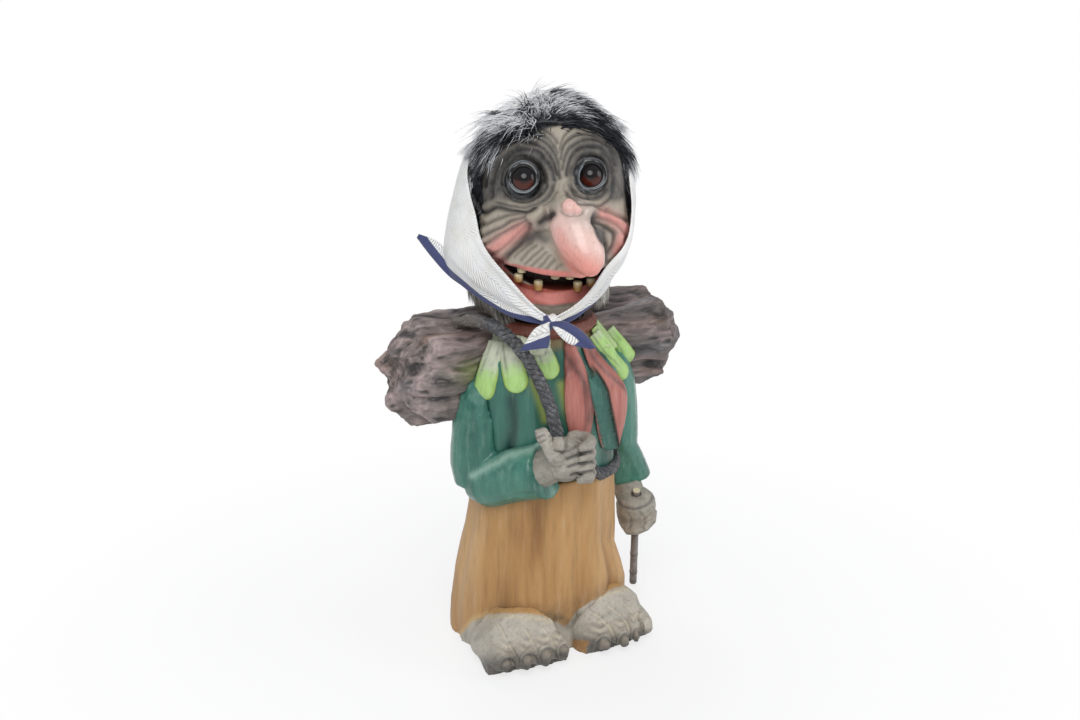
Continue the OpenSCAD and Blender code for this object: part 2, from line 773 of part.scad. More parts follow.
hem_edge = [[-0.10, -0.87, -0.98], [-0.31, -0.79, -0.96], [-0.48, -0.63, -0.96], [-0.66, -0.40, -0.93],
    [-0.84, -0.18, -0.87], [-1, 0, -0.78], [-1.09, 0.18, -0.71], [-1.06, 0.36, -0.67], [-0.92, 0.54, -0.65],
    [-0.71, 0.70, -0.65], [-0.48, 0.81, -0.67], [-0.23, 0.88, -0.68], [0, 0.90, -0.69], [0.21, 0.88, -0.69],
    [0.46, 0.81, -0.70], [0.67, 0.67, -0.73], [0.80, 0.47, -0.76], [0.87, 0.25, -0.79], [0.83, 0.04, -0.81],
    [0.76, -0.16, -0.84], [0.62, -0.36, -0.87], [0.46, -0.54, -0.88], [0.30, -0.67, -0.91],
    [0.14, -0.79, -0.94], [0, -0.84, -0.96], [-0.17, -0.87, -0.98]];

// A place along an edge, with its corners eased
function at_edge(edge, t) = let (last = len(edge) - 1, i = min(last - 1, floor(t)))
    edge[i] + (edge[i + 1] - edge[i]) * (t - i);
function eased_edge(edge, t) = let (last = len(edge) - 1)
    (at_edge(edge, max(0, t - 0.6)) + 2 * at_edge(edge, t) + at_edge(edge, min(last, t + 0.6))) / 4;

// The cloth goes the short way over the head from the face to the hem, k from 0 to 1
function cloth_at(t, k, out) =
    let (f = eased_edge(face_edge, t), h = eased_edge(hem_edge, t), u = unit(f), v = unit(h), w = acos(u * v),
        dir = (sin(w * (1 - k)) * u + sin(w * k) * v) / sin(w) * (norm(f) * (1 - k) + norm(h) * k),
        last = len(face_edge) - 1, sides = ease((abs(t - last / 2) - last / 6) / 3) * ease(k * 4),
        r = hair_r + each_way * (hair_clear + fold + out + fold * sides * cos(900 * k)))
    shell_c + [r.x * dir.x, r.y * dir.y, r.z * dir.z];

// The loose corner of the cloth, which stands out behind the cheek
module flap_form() {
    steps = 6;
    across = [0.2, 0.9, 0.3];
    through = [0.5, -0.2, 0.8] * cloth_t * 1.1;
    root = on_shell(190, 84, hair_r) + [14, 6, -40];
    tip = root + unit([-0.8, -0.1, 0.42]) * (flap_l + 18);
    at_head() skin([for (i = [0 : steps])
        let (k = i / steps, p = root + (tip - root) * k + [0, 4, 5] * sin(180 * k), half = 17 * (1 - k * 0.93))
        [for (j = [0 : 7]) let (a = -45 * j) p + across * half * cos(a) + through * sin(a)]]);
}

module headscarf_form() {
    last = len(face_edge) - 1;
    rings = 40;
    steps = 9;
    at_head() skin([for (i = [0 : rings])
        [for (k = [0 : steps]) cloth_at(last * i / rings, k / steps, 0),
            for (k = [steps : -1 : 0]) cloth_at(last * i / rings, k / steps, cloth_t)]]);
    flap_form();
}

module headscarf() {
    color(cloth_white) carved() difference() {
        headscarf_form();
        wig_form();
    }
}

// Knot and tails of the scarf

module scarf_knot_form() {
    at_head() {
        egg(knot_at, [knot_r * 1.1, knot_r * 0.8, knot_r * 0.9], 14, 8);
        for (s = [-1, 1])
            limb(bend([knot_at, knot_at + [s * 8, -6, -2], knot_at + [s * tail_l * 0.5, -10, -tail_l * 0.35],
                knot_at + [s * tail_l * 0.75, -4, -tail_l * 0.6]], 7),
                [4, 4.6, 5.4, 6.2, 6.8, 6.8, 5, 1.5] * (tail_w / 20), 8, [0, 1, 0]);
    }
}

module scarf_knot() {
    color(cloth_white) carved() difference() {
        scarf_knot_form();
        headscarf_form();
        head_form();
        jacket_form();
        neckerchief_form();
        leaf_collar_form();
        carrying_rope_form();
    }
}

skirt();
right_foot();
left_foot();
jacket();
right_sleeve();
left_sleeve();
right_hand();
left_hand();
walking_stick();
rope_belt();
carrying_rope();
wood_bundle();
leaf_collar();
neckerchief();
head();
right_eye();
left_eye();
upper_teeth();
lower_teeth();
wig();
headscarf();
scarf_knot();
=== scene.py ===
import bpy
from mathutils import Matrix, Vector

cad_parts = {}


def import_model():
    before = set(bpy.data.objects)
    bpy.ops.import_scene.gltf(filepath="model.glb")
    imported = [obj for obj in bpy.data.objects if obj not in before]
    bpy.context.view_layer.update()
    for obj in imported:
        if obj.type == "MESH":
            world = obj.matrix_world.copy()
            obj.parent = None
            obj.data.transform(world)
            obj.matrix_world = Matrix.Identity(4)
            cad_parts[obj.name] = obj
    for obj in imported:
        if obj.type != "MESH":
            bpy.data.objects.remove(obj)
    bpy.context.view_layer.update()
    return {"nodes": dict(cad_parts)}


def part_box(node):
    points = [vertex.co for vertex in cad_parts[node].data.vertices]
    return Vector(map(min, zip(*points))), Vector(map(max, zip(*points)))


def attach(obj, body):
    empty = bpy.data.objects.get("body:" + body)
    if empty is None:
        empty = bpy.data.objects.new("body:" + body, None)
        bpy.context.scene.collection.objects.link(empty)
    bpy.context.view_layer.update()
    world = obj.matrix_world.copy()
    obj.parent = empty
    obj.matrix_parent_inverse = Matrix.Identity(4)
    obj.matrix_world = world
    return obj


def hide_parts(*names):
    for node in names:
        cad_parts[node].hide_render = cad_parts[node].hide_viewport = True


bl_info = {
    "name": "Folk Troll Figure",
    "version": (1, 0, 0),
    "blender": (4, 5, 0),
    "location": "View3D > Sidebar > Troll",
    "description": "Carved and painted folk troll with fur, cloth kerchief and a bundle of wood",
    "category": "Object",
}

import math

import bpy
import numpy as np
from bpy.props import FloatProperty, FloatVectorProperty, IntProperty, PointerProperty
from mathutils import Vector
from mathutils.bvhtree import BVHTree

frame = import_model()

MM = 0.001
FIGURE = "figure"

# Places


def unit(v):
    v = np.asarray(v, float)
    return v / np.maximum(np.linalg.norm(v, axis=-1, keepdims=True), 1e-9)


# The viewer's place, in degrees and millimetres
AZIMUTH, ELEVATION, DISTANCE = math.radians(-27), math.radians(17.5), 1500.0
LENS, FILM_WIDTH = 50.0, 36.0
AIM = np.array([-8.0, 0.0, 300.0])
BACK = np.array([math.sin(AZIMUTH) * math.cos(ELEVATION), -math.cos(AZIMUTH) * math.cos(ELEVATION),
                 math.sin(ELEVATION)])
EYE = AIM + DISTANCE * BACK
RIGHT = np.array([math.cos(AZIMUTH), math.sin(AZIMUTH), 0.0])
UP = np.cross(BACK, RIGHT)
# The view is 1080 x 720 pixels: its middle, and the lens's length in pixels
MIDDLE_X, MIDDLE_Y = 540, 360
FOCAL = 1500.0


def seen(P):
    """Where points in millimetres stand in the 1080 x 720 view"""
    d = P - EYE
    depth = -(d @ BACK)
    return np.stack([MIDDLE_X + FOCAL * (d @ RIGHT) / depth, MIDDLE_Y - FOCAL * (d @ UP) / depth], axis=1)


def sight(x, y):
    """The way from the eye through x, y, one unit deep"""
    return -BACK + RIGHT * (x - MIDDLE_X) / FOCAL - UP * (y - MIDDLE_Y) / FOCAL


def placed(x, y, near):
    """The point seen at x, y whose distance from the eye is that of the point near"""
    depth = -((np.asarray(near, float) - EYE) @ BACK)
    return EYE + depth * sight(x, y)


# The head: its middle, its turn and its radii
HEAD_C = np.array([4.0, -2.0, 463.0])
TURN = math.radians(-18)
HEAD_TURN = np.array([[math.cos(TURN), -math.sin(TURN), 0], [math.sin(TURN), math.cos(TURN), 0], [0, 0, 1]])
HEAD_R = np.array([73.0, 75.0, 99.0])


def from_head(L):
    """Head coordinates (to the figure's left, back, up) to the frame's"""
    return HEAD_C + np.asarray(L, float) @ HEAD_TURN.T


def to_head(P):
    return (P - HEAD_C) @ HEAD_TURN


# Noise and brushes


def corner(i, j, k, seed):
    """A number from -1 to 1 for each corner of a grid, always the same one"""
    n = (i * 374761393 + j * 668265263 + k * 1442695041 + seed * 97531) & 0x7FFFFFFF
    n = ((n ^ (n >> 13)) * 1274126177) & 0x7FFFFFFF
    return ((n ^ (n >> 16)) & 0xFFFF) / 32767.5 - 1


def noise(P, lump, seed=0):
    """Smooth noise from -1 to 1 with lumps of the given size"""
    Q = P / lump + 1000.0
    base = np.floor(Q)
    f = Q - base
    f = f * f * (3 - 2 * f)
    i, j, k = (base[:, n].astype(np.int64) for n in range(3))
    total = 0
    for a in (0, 1):
        for b in (0, 1):
            for c in (0, 1):
                x, y, z = (f[:, n] if upper else 1 - f[:, n] for n, upper in enumerate((a, b, c)))
                total = total + x * y * z * corner(i + a, j + b, k + c, seed)
    return total


def rough(P, lump, seed=0, levels=3):
    """Noise with ever smaller lumps in it"""
    return sum(noise(P, lump / 2 ** n, seed + n) / 2 ** n for n in range(levels)) / 1.6


def ease(x):
    """0 below 0, 1 above 1 and smooth between"""
    x = np.clip(x, 0, 1)
    return x * x * (3 - 2 * x)


def bell(d, w):
    """1 where d is 0, fading over a width w"""
    return np.exp(-(d / w) ** 2)


def past(x, start, reach):
    """0 up to start, rising to 1 at a reach beyond it"""
    return ease((x - start) / reach)


def before(x, start, reach):
    """0 from start on, rising to 1 at a reach before it"""
    return ease((start - x) / reach)


def facing(N, soft, lean=0.0):
    """1 where a form faces the viewer"""
    return ease((N @ BACK + lean) / soft)


def spread(XY, spot, across=1.0, tall=1.0):
    """Distance of points from a spot, counted in its half width and half height"""
    return np.hypot((XY[:, 0] - spot[0]) / across, (XY[:, 1] - spot[1]) / tall)


# Areas with soft bounds, in the units of the sheet or the view that they are used on: the side of each bound
# on which the area lies, where it starts, and its reach
AREAS = {
    "nose_drop": (("below", 990, 160),), "nose_pinch": (("left", 930, 110),),
    "near_temple": (("left", 430, 130), ("below", 330, 80), ("above", 800, 90)),
    "far_temple": (("right", 1060, 60), ("below", 360, 60), ("above", 760, 90)),
    "brow": (("below", 250, 80), ("above", 760, 60)), "nose_side": (("right", 690, 60), ("below", 850, 80)),
    "wart_shade": (("below", 775, 20),),
    "far_nostril": (("left", 1075, 40), ("right", 1000, 30), ("below", 870, 40)),
    "skirt_side": (("right", 588, 24),), "near_hem": (("left", 560, 20),),
    "right_cuff": (("right", 512, 16), ("below", 436, 8)), "sleeve_side": (("right", 610, 20),),
    "thumb_stub": (("right", 546, 5), ("left", 569, 4), ("above", 452, 6)),
    "toe_ends": (("below", 700, 200),), "right_foot_side": (("left", 400, 130), ("above", 900, 160)),
    "left_foot_inside": (("left", 1130, 120),), "left_foot_outside": (("right", 1290, 270),),
    "skirt_patch": (("left", 1090, 12),), "rope_behind": (("left", 480, 40),),
    "belt_climb": (("left", 602, 10), ("right", 535, 12)), "rope_on_bundle": (("left", 490, 25),),
    "right_leaves": (("right", 583, 6),), "left_leaf_ends": (("below", 354, 8), ("left", 572, 5)),
    "right_leaf_ends": (("below", 346, 8), ("right", 585, 5)), "tails": (("below", 352, 42),),
    "tails_parted": (("below", 362, 16),), "bundle_by_rope": (("left", 470, 40),),
}
# Slanting lines: a spot on each, and how many rows it falls in a column
SLANTS = {
    "nose_pink": ((870, 860), 0.55), "nose_pale": ((800, 700), -0.5), "nose_tip": ((870, 930), 0.5),
    "right_toes": ((700, 735), -0.14), "left_toes": ((1400, 610), -0.1), "skirt_patch": ((940, 690), 0.15),
}


def area(XY, name):
    """1 in an area and 0 outside its bounds"""
    share = 1.0
    for way, start, reach in AREAS[name]:
        x = XY[:, 0] if way in ("left", "right") else XY[:, 1]
        share = share * (before if way in ("left", "above") else past)(x, start, reach)
    return share


def below_slant(XY, name):
    """How far points lie below a slanting line"""
    spot, fall = SLANTS[name]
    return XY[:, 1] - spot[1] - fall * (XY[:, 0] - spot[0])


def to_line(XY, line):
    """Distance of points from a chain of points"""
    pts = [np.array(p, float) for p in line]
    best = np.full(len(XY), 1e9)
    for a, b in zip(pts, pts[1:]):
        ab = b - a
        t = np.clip(((XY - a) @ ab) / max(ab @ ab, 1e-9), 0, 1)
        best = np.minimum(best, np.linalg.norm(XY - a - t[:, None] * ab, axis=1))
    return best


def curve(line, steps=6):
    """A smooth chain through the points"""
    p = [np.array(q, float) for q in line]
    p = [2 * p[0] - p[1]] + p + [2 * p[-1] - p[-2]]
    out = []
    for a, b, c, d in zip(p, p[1:], p[2:], p[3:]):
        for s in range(steps):
            t = s / steps
            square, cube = 2 * a - 5 * b + 4 * c - d, 3 * b - a - 3 * c + d
            out.append(0.5 * (2 * b + (c - a) * t + square * t * t + cube * t ** 3))
    return np.array(out + [p[-2]])


def mix(a, b, t):
    """From a to b by the share t of each point"""
    t = np.asarray(t, float)
    if t.ndim == 1:
        t = t[:, None]
    return np.asarray(a, float) * (1 - t) + np.asarray(b, float) * t


# Meshes


def clear_selection():
    if bpy.context.object and bpy.context.object.mode != "OBJECT":
        bpy.ops.object.mode_set(mode="OBJECT")
    bpy.ops.object.select_all(action="DESELECT")


def pick(ob):
    clear_selection()
    ob.select_set(True)
    bpy.context.view_layer.objects.active = ob


def fresh(name, me):
    """A new object that holds a mesh"""
    ob = bpy.data.objects.new(name, me)
    bpy.context.scene.collection.objects.link(ob)
    pick(ob)
    return ob


MERGE = (bpy.ops.mesh.remove_doubles, {"threshold": 1e-6})
FACE_OUT = (bpy.ops.mesh.normals_make_consistent, {"inside": False})
FLIP = (bpy.ops.mesh.flip_normals, {})


def rework(ob, *steps):
    """Runs steps on the whole of a mesh, in edit mode"""
    pick(ob)
    bpy.ops.object.mode_set(mode="EDIT")
    bpy.ops.mesh.select_all(action="SELECT")
    for step, choices in steps:
        step(**choices)
    bpy.ops.object.mode_set(mode="OBJECT")


def finish_modifiers(ob):
    pick(ob)
    for m in list(ob.modifiers):
        bpy.ops.object.modifier_apply(modifier=m.name)


def blank(node, name, voxel, smooth):
    """A fine-grained blank for carving, cut from a node's own form"""
    me = frame["nodes"][node].data.copy()
    me.materials.clear()
    ob = fresh(name, me)
    rework(ob, MERGE)
    m = ob.modifiers.new("Grain", "REMESH")
    m.mode = "VOXEL"
    m.voxel_size = voxel * MM
    m = ob.modifiers.new("Sand", "SMOOTH")
    m.iterations = smooth
    m.factor = 0.5
    finish_modifiers(ob)
    bpy.ops.object.shade_smooth()
    return ob


def points(ob):
    """The points of a mesh in millimetres, and their normals"""
    me = ob.data
    P = np.empty(len(me.vertices) * 3)
    me.vertices.foreach_get("co", P)
    N = np.empty(len(me.vertices) * 3)
    me.vertex_normals.foreach_get("vector", N)
    return P.reshape(-1, 3) / MM, N.reshape(-1, 3)


def place(ob, P):
    """Moves the points of a mesh to P, in millimetres"""
    ob.data.vertices.foreach_set("co", (P * MM).ravel())
    ob.data.update()


def paint(ob, colours, gloss=None):
    """Brushes a colour on every point, with the gloss in the alpha"""
    me = ob.data
    att = me.attributes.new("paint", "FLOAT_COLOR", "POINT")
    rgba = np.ones((len(me.vertices), 4))
    rgba[:, :3] = np.clip(colours, 0, 1)
    if gloss is not None:
        rgba[:, 3] = gloss
    att.data.foreach_set("color", rgba.ravel())


def carving(node, name, voxel, smooth):
    """A blank with its points, their normals and where they are seen"""
    ob = blank(node, name, voxel, smooth)
    P, N = points(ob)
    return ob, P, N, seen(P)


def value(ob, name, v):
    """Keeps one number for every point"""
    att = ob.data.attributes.new(name, "FLOAT", "POINT")
    att.data.foreach_set("value", np.asarray(v, float))


def faces_mesh(name, P, faces):
    me = bpy.data.meshes.new(name)
    me.from_pydata([tuple(p) for p in np.asarray(P) * MM], [], [tuple(int(i) for i in f) for f in faces])
    me.update()
    ob = fresh(name, me)
    bpy.ops.object.shade_smooth()
    return ob


def outward(ob):
    """Closes a form's seams and turns its faces outward"""
    rework(ob, MERGE, FACE_OUT)


def fit(ob, material, nodes=(), body=FIGURE):
    """Gives a piece its paint, the nodes that it stands for and its body"""
    ob.data.materials.clear()
    ob.data.materials.append(material)
    if nodes:
        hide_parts(*nodes)
    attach(ob, body)


# Finishes


def add_node(tree, kind, **inputs):
    """A shader node with some of its inputs set"""
    n = tree.nodes.new(kind)
    for k, v in inputs.items():
        n.inputs[k.replace("_", " ")].default_value = v
    return n


class Finish:
    """Small helper that wires up one material"""

    def __init__(self, name):
        self.mat = bpy.data.materials.new(name)
        self.mat.use_nodes = True
        self.tree = self.mat.node_tree
        self.bsdf = self.tree.nodes["Principled BSDF"]
        self.coord = self.node("ShaderNodeTexCoord")

    def node(self, kind, **inputs):
        return add_node(self.tree, kind, **inputs)

    def link(self, a, b):
        self.tree.links.new(a, b)

    def scaled(self, scale):
        m = self.node("ShaderNodeMapping")
        m.inputs["Scale"].default_value = scale
        self.link(self.coord.outputs["Object"], m.inputs["Vector"])
        return m.outputs["Vector"]

    def grain(self, vector, scale, detail, roughness=0.6):
        n = self.node("ShaderNodeTexNoise", Scale=scale, Detail=detail, Roughness=roughness)
        self.link(vector, n.inputs["Vector"])
        return n.outputs["Fac"]

    def ramp(self, fac, stops):
        r = self.node("ShaderNodeValToRGB")
        e = r.color_ramp.elements
        while len(e) < len(stops):
            e.new(0.5)
        for el, (pos, col) in zip(e, stops):
            el.position = pos
            el.color = (*col, 1)
        self.link(fac, r.inputs["Fac"])
        return r.outputs["Color"]

    def span(self, fac, a, b, c, d):
        m = self.node("ShaderNodeMapRange")
        m.inputs["From Min"].default_value = a
        m.inputs["From Max"].default_value = b
        m.inputs["To Min"].default_value = c
        m.inputs["To Max"].default_value = d
        self.link(fac, m.inputs["Value"])
        return m.outputs["Result"]

    def math(self, op, a, b=None, clamp=False):
        m = self.node("ShaderNodeMath")
        m.operation = op
        m.use_clamp = clamp
        for n, x in enumerate((a, b)):
            if x is None:
                continue
            if isinstance(x, (int, float)):
                m.inputs[n].default_value = x
            else:
                self.link(x, m.inputs[n])
        return m.outputs[0]

    def blend(self, fac, a, b, how="MIX"):
        m = self.node("ShaderNodeMix")
        m.data_type = "RGBA"
        m.blend_type = how
        for key, x in (("Factor_Float", fac), ("A_Color", a), ("B_Color", b)):
            s = [i for i in m.inputs if i.identifier == key][0]
            if isinstance(x, (int, float)):
                s.default_value = x
            elif isinstance(x, tuple):
                s.default_value = (*x, 1)
            else:
                self.link(x, s)
        return [o for o in m.outputs if o.identifier == "Result_Color"][0]

    def attribute(self, name):
        a = self.node("ShaderNodeAttribute")
        a.attribute_name = name
        return a

    def bump(self, height, strength, distance=0.001):
        b = self.node("ShaderNodeBump", Strength=strength, Distance=distance)
        self.link(height, b.inputs["Height"])
        self.link(b.outputs["Normal"], self.bsdf.inputs["Normal"])

    def values(self, **inputs):
        for k, v in inputs.items():
            self.bsdf.inputs[k.replace("_", " ")].default_value = v

    def colour(self, out):
        self.link(out, self.bsdf.inputs["Base Color"])

    def rough(self, out):
        self.link(out, self.bsdf.inputs["Roughness"])


def painted(name, low, high, streak, speck, bump, grain):
    """Hand-painted casting: the brushed colour, thin streaks of wash in it, specks and a faint brushed grain.
    low and high are the roughness where the paint is glossy and dull"""
    f = Finish(name)
    att = f.attribute("paint")
    wash = f.grain(f.scaled(streak), grain, 6, 0.65)
    fine = f.grain(f.coord.outputs["Object"], 900.0, 3, 0.7)
    tone = f.ramp(wash, [(0.3, (1 - speck,) * 3), (0.5, (1, 1, 1)), (0.72, (1, 1, 1))])
    col = f.blend(1.0, att.outputs["Color"], tone, "MULTIPLY")
    light = f.span(wash, 0.56, 0.8, 0.0, speck * 0.7)
    col = f.blend(light, col, (0.9, 0.88, 0.82), "MIX")
    f.colour(col)
    base = f.span(att.outputs["Alpha"], 0.0, 1.0, high, low)
    f.rough(f.math("ADD", base, f.span(fine, 0.3, 0.7, -0.06, 0.08), clamp=True))
    both = f.math("ADD", wash, f.math("MULTIPLY", fine, 0.35))
    f.bump(both, bump, 0.0006)
    f.values(Specular_IOR_Level=0.5)
    return f.mat


# Sizes and colours

# Fixed tones of the brush, beside the panel's colours
TONES = {
    "olive": (0.42, 0.37, 0.22), "nose_root": (0.62, 0.50, 0.44), "nose_pink": (0.92, 0.62, 0.56),
    "nose_tip": (0.80, 0.25, 0.19), "nose_side": (0.82, 0.36, 0.30), "wart": (0.87, 0.52, 0.46),
    "socket": (0.008, 0.008, 0.010), "socket_highlight": (0.24, 0.26, 0.28), "gum": (0.42, 0.085, 0.05),
    "mouth": (0.30, 0.055, 0.03), "mouth_shade": (0.035, 0.012, 0.010), "scalp": (0.020, 0.021, 0.024),
    "lid": (0.005, 0.005, 0.006), "lid_highlight": (0.26, 0.28, 0.30), "pupil": (0.006, 0.004, 0.004),
    "iris": (0.075, 0.012, 0.006), "eye_shade": (0.010, 0.008, 0.009), "eye_edge": (0.006, 0.005, 0.005),
    "ivory": (0.72, 0.64, 0.42), "tooth_root": (0.40, 0.20, 0.05), "fur_skin": (0.022, 0.024, 0.028),
    "fur_light": (0.13, 0.13, 0.135), "fringe_root": (0.022, 0.024, 0.030),
    "fringe_tip": (0.97, 0.97, 0.98), "nape_root": (0.17, 0.15, 0.125), "nape_tip": (0.95, 0.91, 0.83),
    "skirt_highlight": (0.68, 0.46, 0.25), "dark_hem": (0.20, 0.11, 0.045), "light_hem": (0.72, 0.52, 0.26),
    "shade_between_feet": (0.075, 0.058, 0.030), "lime": (0.36, 0.42, 0.09), "side_fold_shade": (0.06, 0.09, 0.07),
    "jacket_neck": (0.26, 0.20, 0.10), "sleeve_top_highlight": (0.28, 0.50, 0.41),
    "sleeve_ridge_highlight": (0.40, 0.60, 0.50), "cuff_ridge_highlight": (0.30, 0.52, 0.44),
    "finger_crease_shade": (0.03, 0.03, 0.03), "thumb_ring": (0.04, 0.04, 0.04), "thumb_nail": (0.22, 0.20, 0.18),
    "foot_edge": (0.66, 0.55, 0.36), "strand_highlight": (0.48, 0.48, 0.49), "rope_end": (0.23, 0.20, 0.17),
    "red_bark": (0.25, 0.135, 0.095), "blue_bark": (0.17, 0.19, 0.22),
    "bark_groove_shade": (0.014, 0.013, 0.015), "bark_top_highlight": (0.40, 0.34, 0.31),
    "branch_end_shade": (0.03, 0.025, 0.022), "green_stain": (0.35, 0.42, 0.12), "twig": (0.16, 0.13, 0.12),
    "twig_light": (0.34, 0.30, 0.28), "twig_knot": (0.05, 0.042, 0.038), "sawn_end": (0.80, 0.70, 0.48),
    "twig_foot": (0.09, 0.08, 0.07), "lobe_top": (0.58, 0.62, 0.47), "lobe_edge": (0.34, 0.48, 0.06),
    "lobe_vein": (0.07, 0.09, 0.06), "leaf_top": (0.56, 0.60, 0.44), "leaf_edge": (0.42, 0.58, 0.08),
    "leaf_vein": (0.08, 0.10, 0.07), "kerchief_crease_shade": (0.06, 0.03, 0.03),
    "tail_edge_shade": (0.03, 0.04, 0.035), "kerchief_neck_shade": (0.20, 0.058, 0.035),
}


def tint(name, text, default):
    return FloatVectorProperty(name=name, description=text, subtype="COLOR", size=3, min=0, max=1,
                               default=default)


def length(name, text, default, least, most):
    return FloatProperty(name=name, description=text, unit="LENGTH", default=default, min=least, max=most)


def number(name, text, default, least, most):
    return IntProperty(name=name, description=text, default=default, min=least, max=most)


class TrollColours(bpy.types.PropertyGroup):
    skin: tint("Skin", "Putty grey of the face", (0.37, 0.325, 0.265))
    # Shade is the paint's dark wash together with painted shade in the face's wrinkles and hollows
    shade: tint("Shade", "Dark wash in the wrinkles", (0.018, 0.017, 0.017))
    blush: tint("Blush", "Pink of the nose, cheeks and lips", (0.80, 0.33, 0.29))
    lip: tint("Lips", "Pink of the lips", (0.66, 0.22, 0.19))
    hands: tint("Hands", "Warm grey of the hands and feet", (0.47, 0.43, 0.365))
    ochre: tint("Skirt", "Ochre of the skirt", (0.46, 0.245, 0.085))
    teal: tint("Jacket", "Green of the jacket", (0.028, 0.125, 0.093))
    leaf: tint("Collar", "Pale green of the collar's leaves", (0.47, 0.66, 0.27))
    brick: tint("Neckerchief", "Brick red of the neckerchief", (0.43, 0.14, 0.11))
    wood: tint("Wood", "Grey brown of the wood bundle", (0.17, 0.142, 0.132))
    rope: tint("Rope", "Grey of the painted rope", (0.070, 0.070, 0.075))
    cloth: tint("Cloth", "White of the headscarf", (0.93, 0.925, 0.91))
    navy: tint("Border", "Dark blue of the headscarf's edge", (0.05, 0.062, 0.17))


class TrollSizes(bpy.types.PropertyGroup):
    crease: length("Crease Depth", "How deep the face's wrinkles are cut", 0.0019, 0.0005, 0.003)
    strand: length("Hair Thickness", "Width of a lock of fur at its root", 0.0007, 0.0004, 0.0015)
    locks: number("Fringe Hairs", "Number of hairs over the brow", 5200, 500, 9000)
    nape_locks: number("Nape Hairs", "Number of hairs under the scarf", 2600, 200, 6000)
    cloth: length("Cloth Thickness", "Thickness of the headscarf's cotton", 0.0008, 0.0004, 0.0015)
    border: length("Border Width", "Width of the headscarf's dark edge", 0.0095, 0.004, 0.014)


def rgb(name):
    """One of the panel's colours"""
    return np.array(getattr(bpy.context.scene.troll_colours, name)[:])


def size(name):
    """One of the panel's sizes, in millimetres"""
    return getattr(bpy.context.scene.troll_sizes, name) / MM


# Head

# The face's wrinkles are drawn as the viewer sees them, on a sheet with about six units to a pixel
FACE_SHEET = ((430.0, 80.0), 6.03)


def on_sheet(P, sheet):
    """Where points stand on a sheet, which has its corner in the view and its units in a pixel"""
    corner_at, scale = sheet
    return (seen(P) - corner_at) * scale


# Each wrinkle: depth share, half width, points
WRINKLES = [
    # arcs over the eye on the left of the view
    (1.0, 11, [(432, 650), (440, 560), (480, 500), (540, 468), (605, 478), (655, 520), (682, 575),
               (692, 625)]),
    (1.2, 13, [(372, 700), (385, 600), (420, 510), (490, 440), (570, 415), (640, 430), (700, 480),
               (735, 540), (752, 600)]),
    (1.1, 12, [(335, 640), (352, 540), (395, 450), (460, 392), (540, 368), (620, 380), (690, 420),
               (740, 480), (768, 570)]),
    (0.9, 11, [(430, 385), (500, 345), (570, 328), (640, 345), (705, 385), (750, 440), (778, 520),
               (782, 590)]),
    (0.7, 9, [(560, 300), (640, 308), (700, 345), (745, 395), (770, 440)]),
    (0.6, 8, [(640, 285), (700, 305), (745, 345), (770, 380)]),
    # arcs over the eye on the right
    (1.0, 11, [(858, 570), (885, 500), (935, 462), (1000, 466), (1042, 510), (1058, 575)]),
    (1.2, 12, [(822, 570), (848, 470), (900, 412), (975, 395), (1050, 428), (1095, 500), (1108, 600),
               (1098, 680)]),
    (0.9, 11, [(800, 540), (818, 450), (865, 395), (935, 362), (1020, 368), (1085, 420), (1120, 510)]),
    (0.8, 10, [(790, 480), (802, 400), (855, 345), (930, 330), (1010, 345), (1060, 380)]),
    (0.6, 8, [(782, 420), (805, 340), (850, 295)]),
    # bags under the eyes
    (0.9, 9, [(440, 665), (500, 722), (590, 735), (660, 700), (704, 640)]),
    (0.8, 9, [(415, 745), (500, 762), (590, 762), (668, 738), (722, 690), (748, 630)]),
    (1.3, 13, [(330, 800), (400, 770), (500, 790), (590, 795), (640, 780)]),
    (0.5, 7, [(650, 770), (720, 735), (765, 680)]),
    (0.9, 9, [(838, 630), (872, 685), (945, 715), (1020, 702), (1062, 655)]),
    (0.8, 9, [(822, 690), (890, 742), (985, 765), (1060, 742), (1090, 700)]),
    (0.5, 7, [(842, 660), (880, 715), (930, 745)]),
    # folds of the cheek on the left
    (0.7, 9, [(560, 800), (470, 815), (380, 850), (300, 880)]),
    (0.8, 10, [(580, 820), (500, 845), (400, 900), (300, 950)]),
    (0.8, 10, [(588, 840), (520, 880), (430, 930), (320, 1000)]),
    (0.6, 9, [(590, 870), (530, 930), (470, 985), (370, 1060)]),
    (1.6, 16, [(600, 870), (565, 945), (500, 1020), (440, 1085), (405, 1120)]),
    # folds of the cheek on the right
    (0.8, 10, [(985, 770), (1060, 790), (1130, 815), (1190, 850)]),
    (0.9, 11, [(985, 820), (1070, 845), (1140, 880), (1180, 930), (1178, 970)]),
    (1.2, 13, [(990, 850), (1060, 890), (1108, 930), (1100, 1000), (1075, 1040)]),
    (1.2, 13, [(985, 860), (1030, 950), (1062, 1010), (1060, 1090)]),
    # lines above the upper lip
    (0.5, 7, [(640, 1000), (600, 1030), (550, 1085)]),
    (0.5, 7, [(680, 1015), (630, 1060), (575, 1110)]),
    (0.5, 7, [(700, 1040), (660, 1080), (610, 1125)]),
    (0.5, 7, [(725, 1060), (690, 1100), (650, 1140)]),
    (0.5, 7, [(752, 1085), (720, 1120), (690, 1150)]),
    (0.4, 7, [(610, 985), (560, 1020), (510, 1070)]),
    (0.4, 7, [(790, 1110), (765, 1135), (745, 1160)]),
    # chin
    (0.5, 9, [(640, 1350), (740, 1370), (860, 1350)]),
]
LEFT_EYE, RIGHT_EYE = (560, 608), (966, 580)
NOSE_LINE = [(815, 760), (860, 900), (930, 1050), (985, 1150)]
